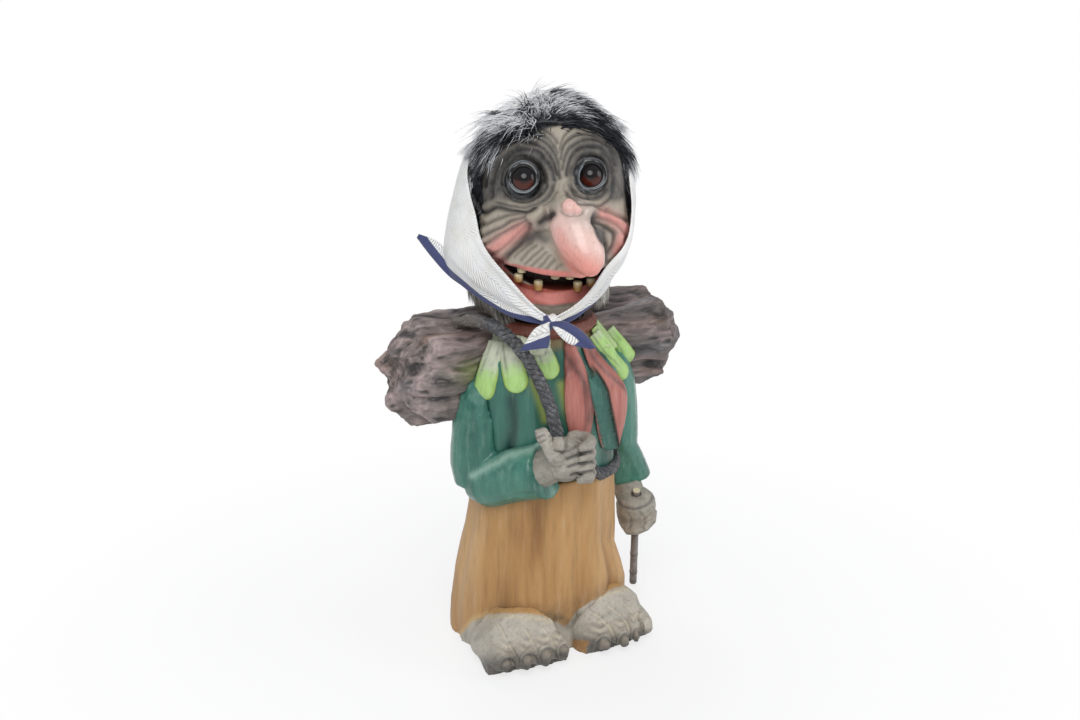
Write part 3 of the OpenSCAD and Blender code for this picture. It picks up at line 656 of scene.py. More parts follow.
# Wings of the nose and nostrils, the warts, and the dark washes with painted shade round the eyes
NEAR_NOSTRIL = [(668, 862), (700, 836), (728, 806)]
FAR_NOSTRIL, NEAR_WING, FAR_WING = (985, 835), (652, 790), (965, 780)
WART, SMALL_WART = (843, 764), (888, 786)
NEAR_WASH_SHADE, FAR_WASH_SHADE = (535, 560), (990, 535)
NEAR_CHEEK = [(560, 900), (450, 970), (350, 1040), (400, 1090)]
FAR_CHEEK = [(1040, 810), (1120, 850), (1180, 900), (1130, 1030)]
UNDER_NOSE = [(610, 950), (640, 930), (690, 960)]
BESIDE_NOSE, NOSE_SIDE, BRIDGE = (590, 965), (775, 900), (790, 400)
UPPER_LIP = [(425, 1118), (520, 1140), (640, 1162), (760, 1178), (880, 1186), (1000, 1204)]
LOWER_LIP = [(500, 1262), (560, 1292), (640, 1312), (740, 1320), (870, 1302), (960, 1262), (1010, 1222)]
GUM_LINE = [(470, 1205), (520, 1240), (600, 1270), (740, 1284), (870, 1268), (950, 1238), (1005, 1205)]


def carve_head(ob):
    """Cuts the wrinkles, sockets, nostrils and warts, and paints the face"""
    P, N = points(ob)
    XY = on_sheet(P, FACE_SHEET)
    X, Y = XY.T
    L = to_head(P)
    front = facing(N, 0.35, 0.05) * ease((-L[:, 1] - 5) / 20)
    lift = np.zeros(len(P))
    # dark is painted shade in the wrinkles and in a crescent above each eye
    dark = np.zeros(len(P))
    wobble = np.stack([noise(P, 9, 3), noise(P, 9, 4)], axis=1) * 5
    for depth, half, line in WRINKLES:
        d = to_line(XY + wobble, curve(line, 4))
        w = half * 1.15
        lift += depth * (-bell(d, w) + 0.55 * bell(d - 2.3 * w, 1.2 * w))
        dark = np.maximum(dark, min(1.0, 0.72 * depth + 0.2) * bell(d, w * 1.15))
    lift *= size("crease") * 0.72
    black = np.zeros(len(P))
    # ring is a painted highlight on the gloss black lids
    ring = np.zeros(len(P))
    for eye, across, tall in ((LEFT_EYE, 62, 64), (RIGHT_EYE, 53, 60)):
        r = spread(XY, eye, across, tall)
        lift += 1.6 * bell(r - 1.42, 0.16) - 1.3 * bell(r - 1.85, 0.18) + 1.2 * bell(r - 2.15, 0.16) - \
            1.5 * bell(r - 1.15, 0.1)
        black = np.maximum(black, before(r, 1.98, 0.25))
        ring = np.maximum(ring, 0.85 * bell(r - 1.45, 0.1) + 0.5 * bell(r - 2.1, 0.13))
        dark = np.maximum(dark, 0.75 * bell(r - 2.35, 0.35) * ease((eye[1] + 60 - Y) / 90))
    hollow = bell(to_line(XY, NEAR_NOSTRIL), 27) + bell(spread(XY, FAR_NOSTRIL), 24)
    wing = bell(spread(XY, NEAR_WING), 50) + bell(spread(XY, FAR_WING), 34)
    lift += 3.2 * wing - 3.4 * hollow
    big = spread(XY, WART, 1.15)
    small = np.hypot(X - SMALL_WART[0], (Y - SMALL_WART[1]) * 1.1)
    rim = bell(np.minimum(big - 52, small - 32), 7)
    lift += 3.4 * before(small, 27, 14) + 4.6 * before(big, 47, 24) - 1.2 * rim
    lift += 0.25 * rough(P, 5, 11)
    on_nose = before(to_line(XY, NOSE_LINE), 150, 40) * ease(-(L[:, 1] + 72) / 12 + 0.3)
    drop = on_nose * area(XY, "nose_drop")
    pinch = drop * area(XY, "nose_pinch")
    P = P + N * (lift * front)[:, None] + (RIGHT * 3.2 - UP * 1.6) * drop[:, None] + \
        (RIGHT * 3.4) * pinch[:, None]
    place(ob, P)

    # the skin, and the olive speckle on it
    skin, shade, blush, lip = rgb("skin"), rgb("shade"), rgb("blush"), rgb("lip")
    off_nose = 1 - on_nose
    n1, n2 = rough(P, 16, 21), rough(P, 6, 25)
    col = mix(skin, skin * 1.35, 0.5 + 0.5 * n1)
    col = mix(col, TONES["olive"], 0.25 * ease(n2 + 0.2))
    # dark wash and painted shade over the temples and round the eyes
    temple = area(XY, "near_temple")
    temple = np.maximum(temple, area(XY, "far_temple"))
    around = bell(spread(XY, NEAR_WASH_SHADE, 245, 245), 1.08)
    around = np.maximum(around, bell(spread(XY, FAR_WASH_SHADE, 160, 225), 1.05))
    brow = area(XY, "brow")
    bridge = bell((X - BRIDGE[0]) / (30 + 0.05 * np.abs(Y - BRIDGE[1])), 1.1)
    wash = np.clip(1.3 * around * brow + 0.95 * temple, 0, 0.93) * (1 - 0.8 * bridge)
    col = mix(col, shade * 2.0 + 0.016, wash * (0.85 + 0.3 * n2))
    # the nose, pink from its root to its tip
    down = below_slant(XY, "nose_pink") / 130
    pale = mix(TONES["nose_root"], TONES["nose_pink"], ease(down + 0.6))
    col = mix(col, pale, on_nose * ease(below_slant(XY, "nose_pale") / 130) * 0.85)
    tip = on_nose * ease(below_slant(XY, "nose_tip") / 190)
    col = mix(col, TONES["nose_tip"], tip * 0.85)
    side = on_nose * area(XY, "nose_side") * bell(X - NOSE_SIDE[0] - 0.35 * (Y - NOSE_SIDE[1]), 36)
    col = mix(col, TONES["nose_side"], 0.6 * side)
    wart = np.maximum(before(big, 52, 14), before(small, 32, 10))
    col = mix(col, TONES["wart"], 0.9 * wart)
    # painted shadow under the warts
    col = mix(col, shade * 2.5, 0.5 * bell(np.minimum(big - 55, small - 35), 6) * area(XY, "wart_shade"))
    cheek = bell(to_line(XY, NEAR_CHEEK), 55)
    cheek = np.maximum(cheek, bell(to_line(XY, FAR_CHEEK), 45))
    col = mix(col, blush, 0.85 * cheek * off_nose)
    # painted shade in the wrinkles, over the eyes and in the nostrils, and a painted shadow under the nose
    col = mix(col, shade, np.clip(dark, 0, 1) * (0.93 + 0.1 * n2) * (1 - 0.45 * cheek))
    col = mix(col, shade, np.clip(hollow * 1.1, 0, 0.95))
    under = bell(to_line(XY, UNDER_NOSE), 34) * off_nose
    col = mix(col, shade * 3, 0.75 * under)
    # painted shadow in the hollow between the cheek and the nose, and painted shade beside the far nostril
    beside_x, beside_y = BESIDE_NOSE
    beside = np.hypot((X - beside_x) / 85, (Y - beside_y + 0.5 * (X - beside_x)) / 45)
    col = mix(col, shade * 1.8, 0.7 * bell(beside, 0.9) * off_nose)
    far = area(XY, "far_nostril") * off_nose
    col = mix(col, shade * 3, 0.6 * far)
    # eyelids in gloss black, with a grey ring of painted highlight
    col = mix(col, TONES["socket"], black)
    col = mix(col, TONES["socket_highlight"], np.clip(ring, 0, 1) * 0.75 * (black > 0.02))
    # lips, gums and the dark of the mouth, with painted shade deep in the mouth and under the upper lip
    up, low, gum = (to_line(XY, curve(line, 5)) for line in (UPPER_LIP, LOWER_LIP, GUM_LINE))
    col = mix(col, TONES["gum"], before(gum, 40, 10) * front * off_nose)
    col = mix(col, lip, before(up, 34, 12) * front * off_nose)
    col = mix(col, lip * [1.1, 1.15, 1.15], before(low, 44, 14) * front * off_nose)
    depth = ease((Y * -1 + 1245) / 60 + 0.5)
    deep = mix(TONES["mouth"], TONES["mouth_shade"], depth)
    col = mix(col, deep, mouth_inside(L))
    scalp = ease((np.interp(turned(L), *FUR_LINE) - backward(L) - 1) / 3)
    col = mix(col, TONES["scalp"], scalp)
    gloss = np.clip(0.25 + 0.75 * on_nose + 0.9 * black + 0.45 * before(low, 40, 14) + 0.5 * wart, 0, 1)
    paint(ob, col, gloss)


def turned(L):
    """Degrees round the face as on_shell counts them"""
    d = (L - SHELL_C) / HAIR_R
    a = np.degrees(np.arctan2(d[:, 2], d[:, 0]))
    return np.where(a < -90, a + 360, a)


def backward(L):
    """Degrees from the back of the head as on_shell counts them"""
    d = unit((L - SHELL_C) / HAIR_R)
    return np.degrees(np.arccos(np.clip(d[:, 1], -1, 1)))


# The open mouth: its half width, its middle beside the head's, its height in the head and its half height
MOUTH_HALF, MOUTH_SHIFT, MOUTH_LEVEL, MOUTH_GAPE = 48, 5, -0.335 * 198, 9


def mouth_line(v):
    """Height of the mouth's middle at v to the figure's left of it"""
    return MOUTH_LEVEL + 9 * (v / MOUTH_HALF) ** 2 - 4 * (v / MOUTH_HALF)


def mouth_inside(L):
    """1 on the walls of the open mouth"""
    v = L[:, 0] + MOUTH_SHIFT
    m = mouth_line(v)
    gap = MOUTH_GAPE * np.sqrt(np.maximum(0, 1 - (v / MOUTH_HALF) ** 2))
    y = -np.sqrt(np.maximum(0, 1 - (v / HEAD_R[0]) ** 2)) * HEAD_R[1] * 0.74
    inside = ease((gap + 1.2 - np.abs(L[:, 2] - m)) / 1.2) * ease((L[:, 1] - y + 16) / 4)
    return inside * (np.abs(v) < 50) * (L[:, 1] < 0)


class TROLL_OT_head(bpy.types.Operator):
    """Carve and paint the head"""
    bl_idname = "troll.head"
    bl_label = "Carved Head"

    def execute(self, context):
        ob = blank("head", "carved_head", 1.45, 6)
        carve_head(ob)
        fit(ob, painted("Face Paint", 0.22, 0.62, (1, 1, 0.6), 0.16, 0.35, 420.0), ["head"])
        return {"FINISHED"}


# Radius of a glass eye, and how far it is set below its socket's middle
EYE_R, EYE_DROP = 13, 1.6


def eyelid(centre, side):
    """The swollen rim round a glass eye"""
    clear_selection()
    # a ring of radius 1, which is then bent and thickened
    bpy.ops.mesh.primitive_torus_add(major_segments=96, minor_segments=28, major_radius=1.0,
                                     minor_radius=0.25)
    ob = bpy.context.object
    ob.name = "eyelid_left" if side > 0 else "eyelid_right"
    P, _ = points(ob)
    P = P * MM
    turn = np.arctan2(P[:, 1], P[:, 0])
    around = np.hypot(P[:, 0], P[:, 1]) - 1.0
    tube = np.arctan2(P[:, 2], around)
    high = np.sin(turn)
    uneven = noise(np.stack([turn * 3, tube * 0, tube * 0 + side], axis=1), 1, 91)
    thick = 2.9 + 0.7 * high + 0.25 * uneven
    ring = 9.5 + thick
    face = unit(BACK + RIGHT * (0.10 * side) + UP * 0.02)
    x = unit(RIGHT - face * (RIGHT @ face))
    y = np.cross(face, x)
    rad = ring + thick * np.cos(tube)
    Q = centre - UP * EYE_DROP + face * 7.0 + x * (rad * np.cos(turn))[:, None] + \
        y * (rad * np.sin(turn) * 1.03)[:, None] + face * (thick * 0.8 * np.sin(tube) - 0.9)[:, None]
    place(ob, Q)
    bpy.ops.object.shade_smooth()
    outward(ob)
    # painted highlights on the gloss black lid: a grey line along its lower crest and a grey stroke over its
    # upper side
    low = bell(tube - 1.15, 0.30) * ease(-high * 1.6 + 0.1)
    inner = 0.45 + 0.55 * ease(0.6 - np.cos(turn))
    upper = 0.8 * bell(tube - 0.75, 0.36) * ease((high - 0.15) * 1.5) * inner
    col = mix(TONES["lid"], TONES["lid_highlight"], np.clip(low + upper, 0, 1))
    paint(ob, col, 1.0)
    return ob


class TROLL_OT_eyes(bpy.types.Operator):
    """Glass eyes and peg teeth"""
    bl_idname = "troll.eyes"
    bl_label = "Eyes and Teeth"

    def execute(self, context):
        f = Finish("Brown Glass")
        att = f.attribute("paint")
        f.colour(att.outputs["Color"])
        f.values(Roughness=0.07, Specular_IOR_Level=0.36)
        streak = f.grain(f.coord.outputs["Object"], 500, 4)
        f.bump(streak, 0.02, 0.0002)
        gloss = painted("Gloss Lids", 0.12, 0.4, (1, 1, 1), 0.1, 0.1, 300.0)
        for side, node in ((-1, "right_eye"), (1, "left_eye")):
            lo, hi = (np.array(c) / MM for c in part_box(node))
            centre = (lo + hi) / 2
            clear_selection()
            bpy.ops.mesh.primitive_uv_sphere_add(segments=64, ring_count=40, radius=EYE_R * MM,
                                                 location=Vector((centre - UP * EYE_DROP) * MM))
            ob = bpy.context.object
            ob.name = "glass_" + node
            bpy.ops.object.transform_apply(location=True, rotation=True, scale=True)
            bpy.ops.object.shade_smooth()
            P, N = points(ob)
            look = unit(BACK + RIGHT * 0.02 - UP * 0.02)
            r = np.degrees(np.arccos(np.clip(N @ look, -1, 1)))
            high = N @ UP
            col = mix(TONES["pupil"], TONES["iris"], ease((r - 12) / 16))
            # painted shade darkens the upper half of the eye
            col = mix(col, TONES["eye_shade"], ease((high + 0.50) / 0.62))
            col = mix(col, TONES["eye_edge"], ease((r - 46) / 12))
            paint(ob, col)
            fit(ob, f.mat, [node])
            fit(eyelid(centre, side), gloss, ())
        ivory = painted("Ivory Paint", 0.2, 0.5, (1, 1, 0.3), 0.3, 0.3, 500.0)
        for node, name, up in (("upper_teeth", "peg_teeth_upper", 1), ("lower_teeth", "peg_teeth_lower", -1)):
            ob = blank(node, name, 0.55, 4)
            P, N = points(ob)
            L = to_head(P)
            m = mouth_line(L[:, 0] + MOUTH_SHIFT)
            root = ease((up * (L[:, 2] - m) - 1) / 7)
            col = mix(TONES["ivory"], TONES["tooth_root"], root)
            col = col * (1 + 0.25 * rough(P, 3, 7))[:, None]
            paint(ob, col, 0.6)
            fit(ob, ivory, [node])
        return {"FINISHED"}


# Fur

# The shell that the hair and the cloth lie on: its middle in the head and its radii
SHELL_C = np.array([0.0, 4.0, 2.0])
HAIR_R = HEAD_R + 11
# Degrees from the back of the head to the fur's own edge, by degrees from the top
HAIRLINE = ([0, 45, 90, 120, 150, 180], [128, 117, 101, 94, 78, 70])
# Where the fur ends on the face
FUR_LINE = ([-12, 8, 23, 40, 57, 80, 104, 120, 132, 142, 154, 164, 174, 190],
            [119, 123, 121, 118, 125, 132, 134, 133, 129, 118, 109, 108, 110, 112])


def on_shell(a, b, r):
    """Head coordinates of a place on a shell: a runs round the face, 0 at the figure's left and 90 on top,
    and b from the back of the head to the face, in degrees"""
    a, b = np.radians(a), np.radians(b)
    return SHELL_C + np.stack([r[..., 0] * np.sin(b) * np.cos(a), r[..., 1] * np.cos(b),
                               r[..., 2] * np.sin(b) * np.sin(a)], axis=-1)


def hugged(L):
    """Hair and cloth lie close to the head on the figure's left and on the crown"""
    side = ease(L[..., 0] / 55) * ease((L[..., 1] + 66) / 45)
    crown = ease((L[..., 2] - 15) / 60)
    return L * np.stack([1 - 0.095 * side, 1 + 0 * side, 1 - 0.10 * crown], axis=-1)


def from_top(a):
    """Degrees between a and the top of the head"""
    return np.degrees(np.arccos(np.clip(np.sin(np.radians(a)), -1, 1)))


def hair_edge(a):
    return np.interp(from_top(a), *HAIRLINE)


def fringe_share(a, b):
    """1 where the fringe is thickest"""
    return ease((b - 99) / 8) * ease((158 - a) / 16) * ease((a - 10) / 16)


def hairs(name, rows, thick, tone):
    """One mesh of tapering three-sided hairs. rows is hairs x stations x 3 in millimetres,
    tone is hairs x stations x 3 in colour."""
    count, steps = rows.shape[:2]
    along = np.gradient(rows, axis=1)
    side = unit(np.cross(along, unit(rows[:, -1] - rows[:, 0])[:, None] + np.array([0.13, 0.21, 0.37])))
    over = unit(np.cross(along, side))
    taper = np.linspace(1, 0, steps) ** 0.7
    ring = steps - 1
    V = np.empty((count, ring * 3 + 1, 3))
    C = np.empty_like(V)
    for s in range(ring):
        for k in range(3):
            q = 2 * math.pi * k / 3
            out = side[:, s] * math.cos(q) + over[:, s] * math.sin(q)
            V[:, s * 3 + k] = rows[:, s] + out * (thick * taper[s])[:, None]
            C[:, s * 3 + k] = tone[:, s]
    V[:, -1] = rows[:, -1]
    C[:, -1] = tone[:, -1]
    per = ring * 3 + 1
    one = [(2, 1, 0)]
    for s in range(ring - 1):
        for k in range(3):
            a, b = s * 3 + k, s * 3 + (k + 1) % 3
            one += [(a, b, b + 3), (a, b + 3, a + 3)]
    for k in range(3):
        a, b = (ring - 1) * 3 + k, (ring - 1) * 3 + (k + 1) % 3
        one.append((a, b, per - 1))
    one = np.array(one)
    F = (one[None] + (np.arange(count) * per)[:, None, None]).reshape(-1, 3)
    me = bpy.data.meshes.new(name)
    me.vertices.add(count * per)
    me.loops.add(len(F) * 3)
    me.polygons.add(len(F))
    me.vertices.foreach_set("co", (V.reshape(-1, 3) * MM).ravel())
    me.loops.foreach_set("vertex_index", F.ravel().astype(np.int32))
    me.polygons.foreach_set("loop_start", np.arange(0, len(F) * 3, 3, dtype=np.int32))
    me.update(calc_edges=True)
    me.validate()
    ob = fresh(name, me)
    bpy.ops.object.shade_smooth()
    paint(ob, C.reshape(-1, 3))
    return ob


def fur_finish():
    f = Finish("Silver Fur")
    att = f.attribute("paint")
    n = f.grain(f.coord.outputs["Object"], 160, 3)
    tone = f.ramp(n, [(0.3, (0.7, 0.7, 0.72)), (0.7, (1, 1, 1))])
    f.colour(f.blend(1.0, att.outputs["Color"], tone, "MULTIPLY"))
    f.values(Roughness=0.45, Specular_IOR_Level=0.35)
    return f.mat


def shell_frame(a, b, r):
    """Unit steps on the shell at a place: on round the face, forward to it, and out"""
    e = 1.5
    da = unit(on_shell(a + e, b, r) - on_shell(a - e, b, r))
    db = unit(on_shell(a, b + e, r) - on_shell(a, b - e, r))
    up = unit(np.cross(da, db))
    return da, db, np.where((np.sum(up * (on_shell(a, b, r) - SHELL_C), axis=1) < 0)[:, None], -up, up)


def mix3(a, b, w):
    """Mixes two colours along every hair"""
    return np.array(a) * (1 - w[..., None]) + np.array(b) * w[..., None]


def fringe_hairs(count, rng):
    """Fur combed over the brow from under the cloth's edge, as rows of places and of colours"""
    a = rng.uniform(-10, 188, count)
    edge, line = scarf_edge(a), np.interp(a, *FUR_LINE)
    k = rng.uniform(0, 1, count)
    b = edge - 2 + (line - edge + 2) * k
    thick = 3 * fringe_share(a, b)
    skin = ease((b - hair_edge(a) + 2) / 8)
    r = (HAIR_R + (thick - 1)[:, None]) * (1 - skin[:, None]) + (HEAD_R + 1.5) * skin[:, None]
    root = on_shell(a, b, r)
    da, db, up = shell_frame(a, b, r)
    # parted over the figure's right eye: to each side of it the fur is combed away, and back over the cloth
    sideways = np.tanh((a - 108) / 16)
    clump = np.stack([noise(root, 12, s) for s in (31, 32, 33)], axis=1)
    top = ease((160 - a) / 26) * ease((a - 2) / 30)
    back = 0.55 - 0.50 * top * ease((a - 100) / 14) * ease((k - 0.22) / 0.2)
    curly = top * ease((a - 96) / 12)
    flow = unit(-db * back[:, None] + da * (sideways * (0.62 + 0.3 * top))[:, None]
                + up * (0.12 + 0.14 * top + 0.16 * top * ease((0.3 - k) / 0.3))[:, None]
                + clump * (0.20 + 0.22 * top + 0.4 * curly)[:, None]
                + rng.normal(0, 1, (count, 3)) * (0.06 + 0.07 * top)[:, None])
    reach = (11 + 15 * top + 5 * curly) * rng.uniform(0.6, 1.2, count)
    reach = reach * (1 + 0.25 * clump[:, 0]) * (1.1 - 0.35 * k)
    along = np.linspace(0, 1, 7)[None, :]
    t = along[..., None]
    fall = np.array([0, 0, -1.0]) * (3 + 7 * top)[:, None] + da * (sideways * 5 * top)[:, None]
    curl = unit(np.cross(flow, up)) * (rng.normal(0, 2.5, count) + (3 + 5 * curly) * clump[:, 1])[:, None]
    rows = root[:, None] + flow[:, None] * reach[:, None, None] * t + fall[:, None] * t ** 2.2 + \
        curl[:, None] * np.sin(t * (3.0 + 1.5 * curly[:, None, None]))
    bright = ease(rng.uniform(0.3, 1.3, count) + 0.5 * clump[:, 2] - 0.8 * past(k, 0.6, 0.35) + 0.4 * curly
                  + 0.5 * before(k, 0.5, 0.4))
    # some locks stay dark until near their tips
    dark_lock = 0.75 * ease((noise(root, 9, 34) + 0.12) / 0.3)
    w = ease((along + 0.45 - 0.7 * k[:, None] - dark_lock[:, None]) / 0.4) * bright[:, None]
    tone = mix3(TONES["fringe_root"], TONES["fringe_tip"], w)
    return from_head(hugged(rows).reshape(-1, 3)).reshape(rows.shape), tone


def nape_hairs(count, rng):
    """Fur that hangs out from under the hem"""
    t = np.where(rng.uniform(0, 1, count) < 0.5, rng.uniform(3.2, 8, count), rng.uniform(6, 19.5, count))
    hem = cloth_at(t, np.ones(count), -2.5)
    high = cloth_at(t, rng.uniform(0.86, 0.96, count), -6.0)
    out = high - SHELL_C
    root = SHELL_C + out / np.linalg.norm(out / (HAIR_R - 3), axis=1)[:, None]
    clump = np.stack([noise(root, 13, s) for s in (41, 42, 43)], axis=1)
    left = ease((9 - t) / 3)
    along = unit(cloth_at(t - 0.6, np.ones(count), 0) - cloth_at(t + 0.6, np.ones(count), 0))
    inward = -unit((hem - SHELL_C) * [1, 1, 0])
    down = np.array([0, 0, -1.0]) * (16 + 13 * left + rng.uniform(-5, 5, count))[:, None]
    tip = hem + down + inward * (10 + 8 * left + rng.normal(0, 3, count))[:, None] + \
        along * (9 * left + 5 * clump[:, 0])[:, None] + clump * 5
    mid = hem + inward * (3 + rng.uniform(0, 9, count))[:, None] + np.array([0, 0, 4.0])
    q = np.linspace(0, 1, 8)[None, :, None]
    curl = unit(np.cross(tip - root, inward)) * (rng.normal(0, 2, count) + 3 * clump[:, 1])[:, None]
    rows = root[:, None] * (1 - q) ** 2 + 2 * mid[:, None] * q * (1 - q) + tip[:, None] * q ** 2 + \
        curl[:, None] * np.sin(q * 5)
    bright = ease(rng.uniform(0.2, 1.2, count) + 0.5 * clump[:, 2])
    tone = mix3(TONES["nape_root"], TONES["nape_tip"], ease((q[..., 0] - 0.25) / 0.5) * bright[:, None])
    return from_head(rows.reshape(-1, 3)).reshape(rows.shape), tone


class TROLL_OT_fur(bpy.types.Operator):
    """Fur glued over the brow and the nape"""
    bl_idname = "troll.fur"
    bl_label = "Fur"

    def execute(self, context):
        fur = fur_finish()
        ob = blank("wig", "fur_backing", 2.0, 3)
        P, N = points(ob)
        L = to_head(P)
        q = (L - SHELL_C) / HAIR_R
        stand = np.linalg.norm(q, axis=1)
        flat = 1 - np.clip(stand - 1.0, 0, 0.3) * 0.85 / stand
        P = from_head(hugged(SHELL_C + (L - SHELL_C) * flat[:, None])) + \
            N * (0.9 * rough(P * [1, 1, 0.5], 5, 51))[:, None]
        place(ob, P)
        n = rough(P, 7, 52)
        paint(ob, mix(TONES["fur_skin"], TONES["fur_light"], 0.35 + 0.35 * n))
        fit(ob, fur, ["wig"])
        rng = np.random.default_rng(7)
        sizes = bpy.context.scene.troll_sizes
        rows, tone = fringe_hairs(sizes.locks, rng)
        thick = size("strand") * rng.uniform(0.6, 1.2, len(rows))
        fit(hairs("fringe_fur", rows, thick, tone), fur, ())
        rows, tone = nape_hairs(sizes.nape_locks * 2, rng)
        thick = size("strand") * rng.uniform(0.7, 1.3, len(rows))
        fit(hairs("nape_fur", rows, thick, tone), fur, ())
        return {"FINISHED"}


# Headscarf


def cotton():
    """White cotton with feather-like lines in grey and blue, and a dark edge. The map's unit is 10 mm"""
    f = Finish("Printed Cotton")
    uv = f.coord.outputs["UV"]
    sep = f.node("ShaderNodeSeparateXYZ")
    f.link(uv, sep.inputs["Vector"])
    x, y = sep.outputs["X"], sep.outputs["Y"]
    bend = f.grain(uv, 0.35, 2)
    across = f.math("ADD", y, f.math("MULTIPLY", f.math("SUBTRACT", bend, 0.5), 1.2))
    quill = f.math("ABSOLUTE", f.math("SUBTRACT", f.math("MODULO", f.math("ADD", across, 90.0), 3.6), 1.8))
    barb = f.math("ADD", f.math("MULTIPLY", x, 0.6), f.math("MULTIPLY", quill, 1.15))
    wave = f.math("SINE", f.math("MULTIPLY", barb, 20.0))
    line = f.span(wave, 0.45, 0.95, 0.0, 1.0)
    quill_line = f.span(quill, 0.0, 0.09, 0.8, 0.0)
    patch = f.span(f.grain(uv, 0.5, 3), 0.40, 0.6, 0.0, 0.40)
    from_knot = f.math("MINIMUM", x, f.math("SUBTRACT", 65.0, x))
    at_knot = f.math("MULTIPLY", f.span(from_knot, 11.0, 17.0, 1.0, 0.0), f.span(y, 1.0, 3.0, 0.4, 1.0))
    patch = f.math("MAXIMUM", patch, at_knot)
    thin = f.span(f.grain(uv, 5.0, 2), 0.34, 0.5, 0.55, 1.0)
    ink = f.math("MULTIPLY", f.math("MULTIPLY", f.math("MAXIMUM", line, quill_line), patch), thin, clamp=True)
    ink = f.math("MULTIPLY", ink, 0.9)
    inks = [(0.38, (0.05, 0.05, 0.055)), (0.5, (0.20, 0.20, 0.20)), (0.62, (0.14, 0.20, 0.36))]
    hue = f.ramp(f.grain(uv, 0.4, 2), inks)
    aged = f.span(f.grain(uv, 0.3, 2), 0.45, 0.65, 0.0, 0.5)
    cream = f.blend(aged, tuple(rgb("cloth")), (0.80, 0.77, 0.68))
    white = f.blend(ink, cream, hue)
    edge = f.attribute("rim")
    wide = size("border")
    border = f.span(edge.outputs["Fac"], wide, wide + 0.5, 1.0, 0.0)
    col = f.blend(border, white, tuple(rgb("navy")))
    f.colour(col)
    weave = f.node("ShaderNodeTexWave", Scale=12.0)
    f.link(uv, weave.inputs["Vector"])
    weave2 = f.node("ShaderNodeTexWave", Scale=12.0)
    weave2.bands_direction = "Y"
    f.link(uv, weave2.inputs["Vector"])
    f.bump(f.math("ADD", weave.outputs["Fac"], weave2.outputs["Fac"]), 0.12, 0.0003)
    f.values(Roughness=0.72, Sheen_Weight=0.25, Sheen_Roughness=0.5)
    return f.mat


# Directions from the head's middle to the cloth's edges, from the knot round the head and back to it
FACE_EDGE = np.array([
    [-0.14, -0.95, -0.88], [-0.27, -0.89, -0.83], [-0.42, -0.84, -0.72], [-0.55, -0.77, -0.59],
    [-0.68, -0.65, -0.48], [-0.79, -0.52, -0.39], [-0.87, -0.43, -0.25], [-0.89, -0.44, -0.06],
    [-0.95, -0.29, 0.08], [-0.97, -0.14, 0.22], [-0.92, -0.02, 0.39], [-0.70, -0.10, 0.70],
    [-0.37, -0.12, 0.92], [0, -0.14, 0.99], [0.37, -0.12, 0.92], [0.70, -0.12, 0.70], [0.89, -0.19, 0.41],
    [0.92, -0.34, 0.16], [0.81, -0.59, -0.05], [0.79, -0.62, -0.23], [0.67, -0.74, -0.36],
    [0.46, -0.82, -0.47], [0.33, -0.88, -0.62], [0.18, -0.92, -0.74], [0, -0.95, -0.83],
    [-0.17, -0.95, -0.88]])
HEM_EDGE = np.array([
    [-0.10, -0.87, -0.98], [-0.31, -0.79, -0.96], [-0.48, -0.63, -0.96], [-0.66, -0.40, -0.93],
    [-0.84, -0.18, -0.87], [-1, 0, -0.78], [-1.09, 0.18, -0.71], [-1.06, 0.36, -0.67], [-0.92, 0.54, -0.65],
    [-0.71, 0.70, -0.65], [-0.48, 0.81, -0.67], [-0.23, 0.88, -0.68], [0, 0.90, -0.69], [0.21, 0.88, -0.69],
    [0.46, 0.81, -0.70], [0.67, 0.67, -0.73], [0.80, 0.47, -0.76], [0.87, 0.25, -0.79], [0.83, 0.04, -0.81],
    [0.76, -0.16, -0.84], [0.62, -0.36, -0.87], [0.46, -0.54, -0.88], [0.30, -0.67, -0.91],
    [0.14, -0.79, -0.94], [0, -0.84, -0.96], [-0.17, -0.87, -0.98]])


def at_edge(edge, t):
    """Where an edge runs at t, counted in its stations"""
    i = np.clip(np.floor(t).astype(int), 0, len(edge) - 2)
    return edge[i] + (edge[i + 1] - edge[i]) * (t - i)[..., None]


def eased_edge(edge, t):
    """The same with its corners taken off, as a mean of five places near by"""
    last = len(edge) - 1
    shares = ((-0.7, 1), (-0.35, 2), (0, 3), (0.35, 2), (0.7, 1))
    return sum([at_edge(edge, np.clip(t + d, 0, last)) * w for d, w in shares]) / 9


def cloth_at(t, k, out):
    """Head coordinates of the cloth: t runs round the head from the knot to the knot,
    and k from the face to the hem"""
    f, h = eased_edge(FACE_EDGE, t), eased_edge(HEM_EDGE, t)
    nf, nh = np.linalg.norm(f, axis=-1), np.linalg.norm(h, axis=-1)
    u, v = f / nf[..., None], h / nh[..., None]
    w = np.arccos(np.clip(np.sum(u * v, axis=-1), -1, 1))
    way = (np.sin(w * (1 - k))[..., None] * u + np.sin(w * k)[..., None] * v) / np.sin(w)[..., None]
    way = way * (nf * (1 - k) + nh * k)[..., None]
    sides = ease((np.abs(t - 12.5) - 4.2) / 3) * ease(k * 4)
    r = HAIR_R + (2.7 + out + 1.2 * sides * np.cos(np.radians(900) * k))[..., None]
    return hugged(SHELL_C + r * way)


def scarf_edge(a):
    """How far forward the cloth's face edge lies at a, in the degrees of on_shell"""
    t = np.linspace(6.5, 19, 200)
    f = eased_edge(FACE_EDGE, t)
    turn = np.degrees(np.arctan2(f[:, 2], f[:, 0]))
    turn = np.where(turn < -90, turn + 360, turn)
    b = np.degrees(np.arccos(f[:, 1] / np.linalg.norm(f, axis=1)))
    order = np.argsort(turn)
    return np.interp(a, turn[order], b[order])


def map_sheet(ob, UV):
    """Lays the cloth's own coordinates on a mesh, one pair to a point"""
    lay = ob.data.uv_layers.new(name="UVMap")
    loops = np.empty(len(ob.data.loops), np.int32)
    ob.data.loops.foreach_get("vertex_index", loops)
    lay.data.foreach_set("uv", UV[loops].ravel())


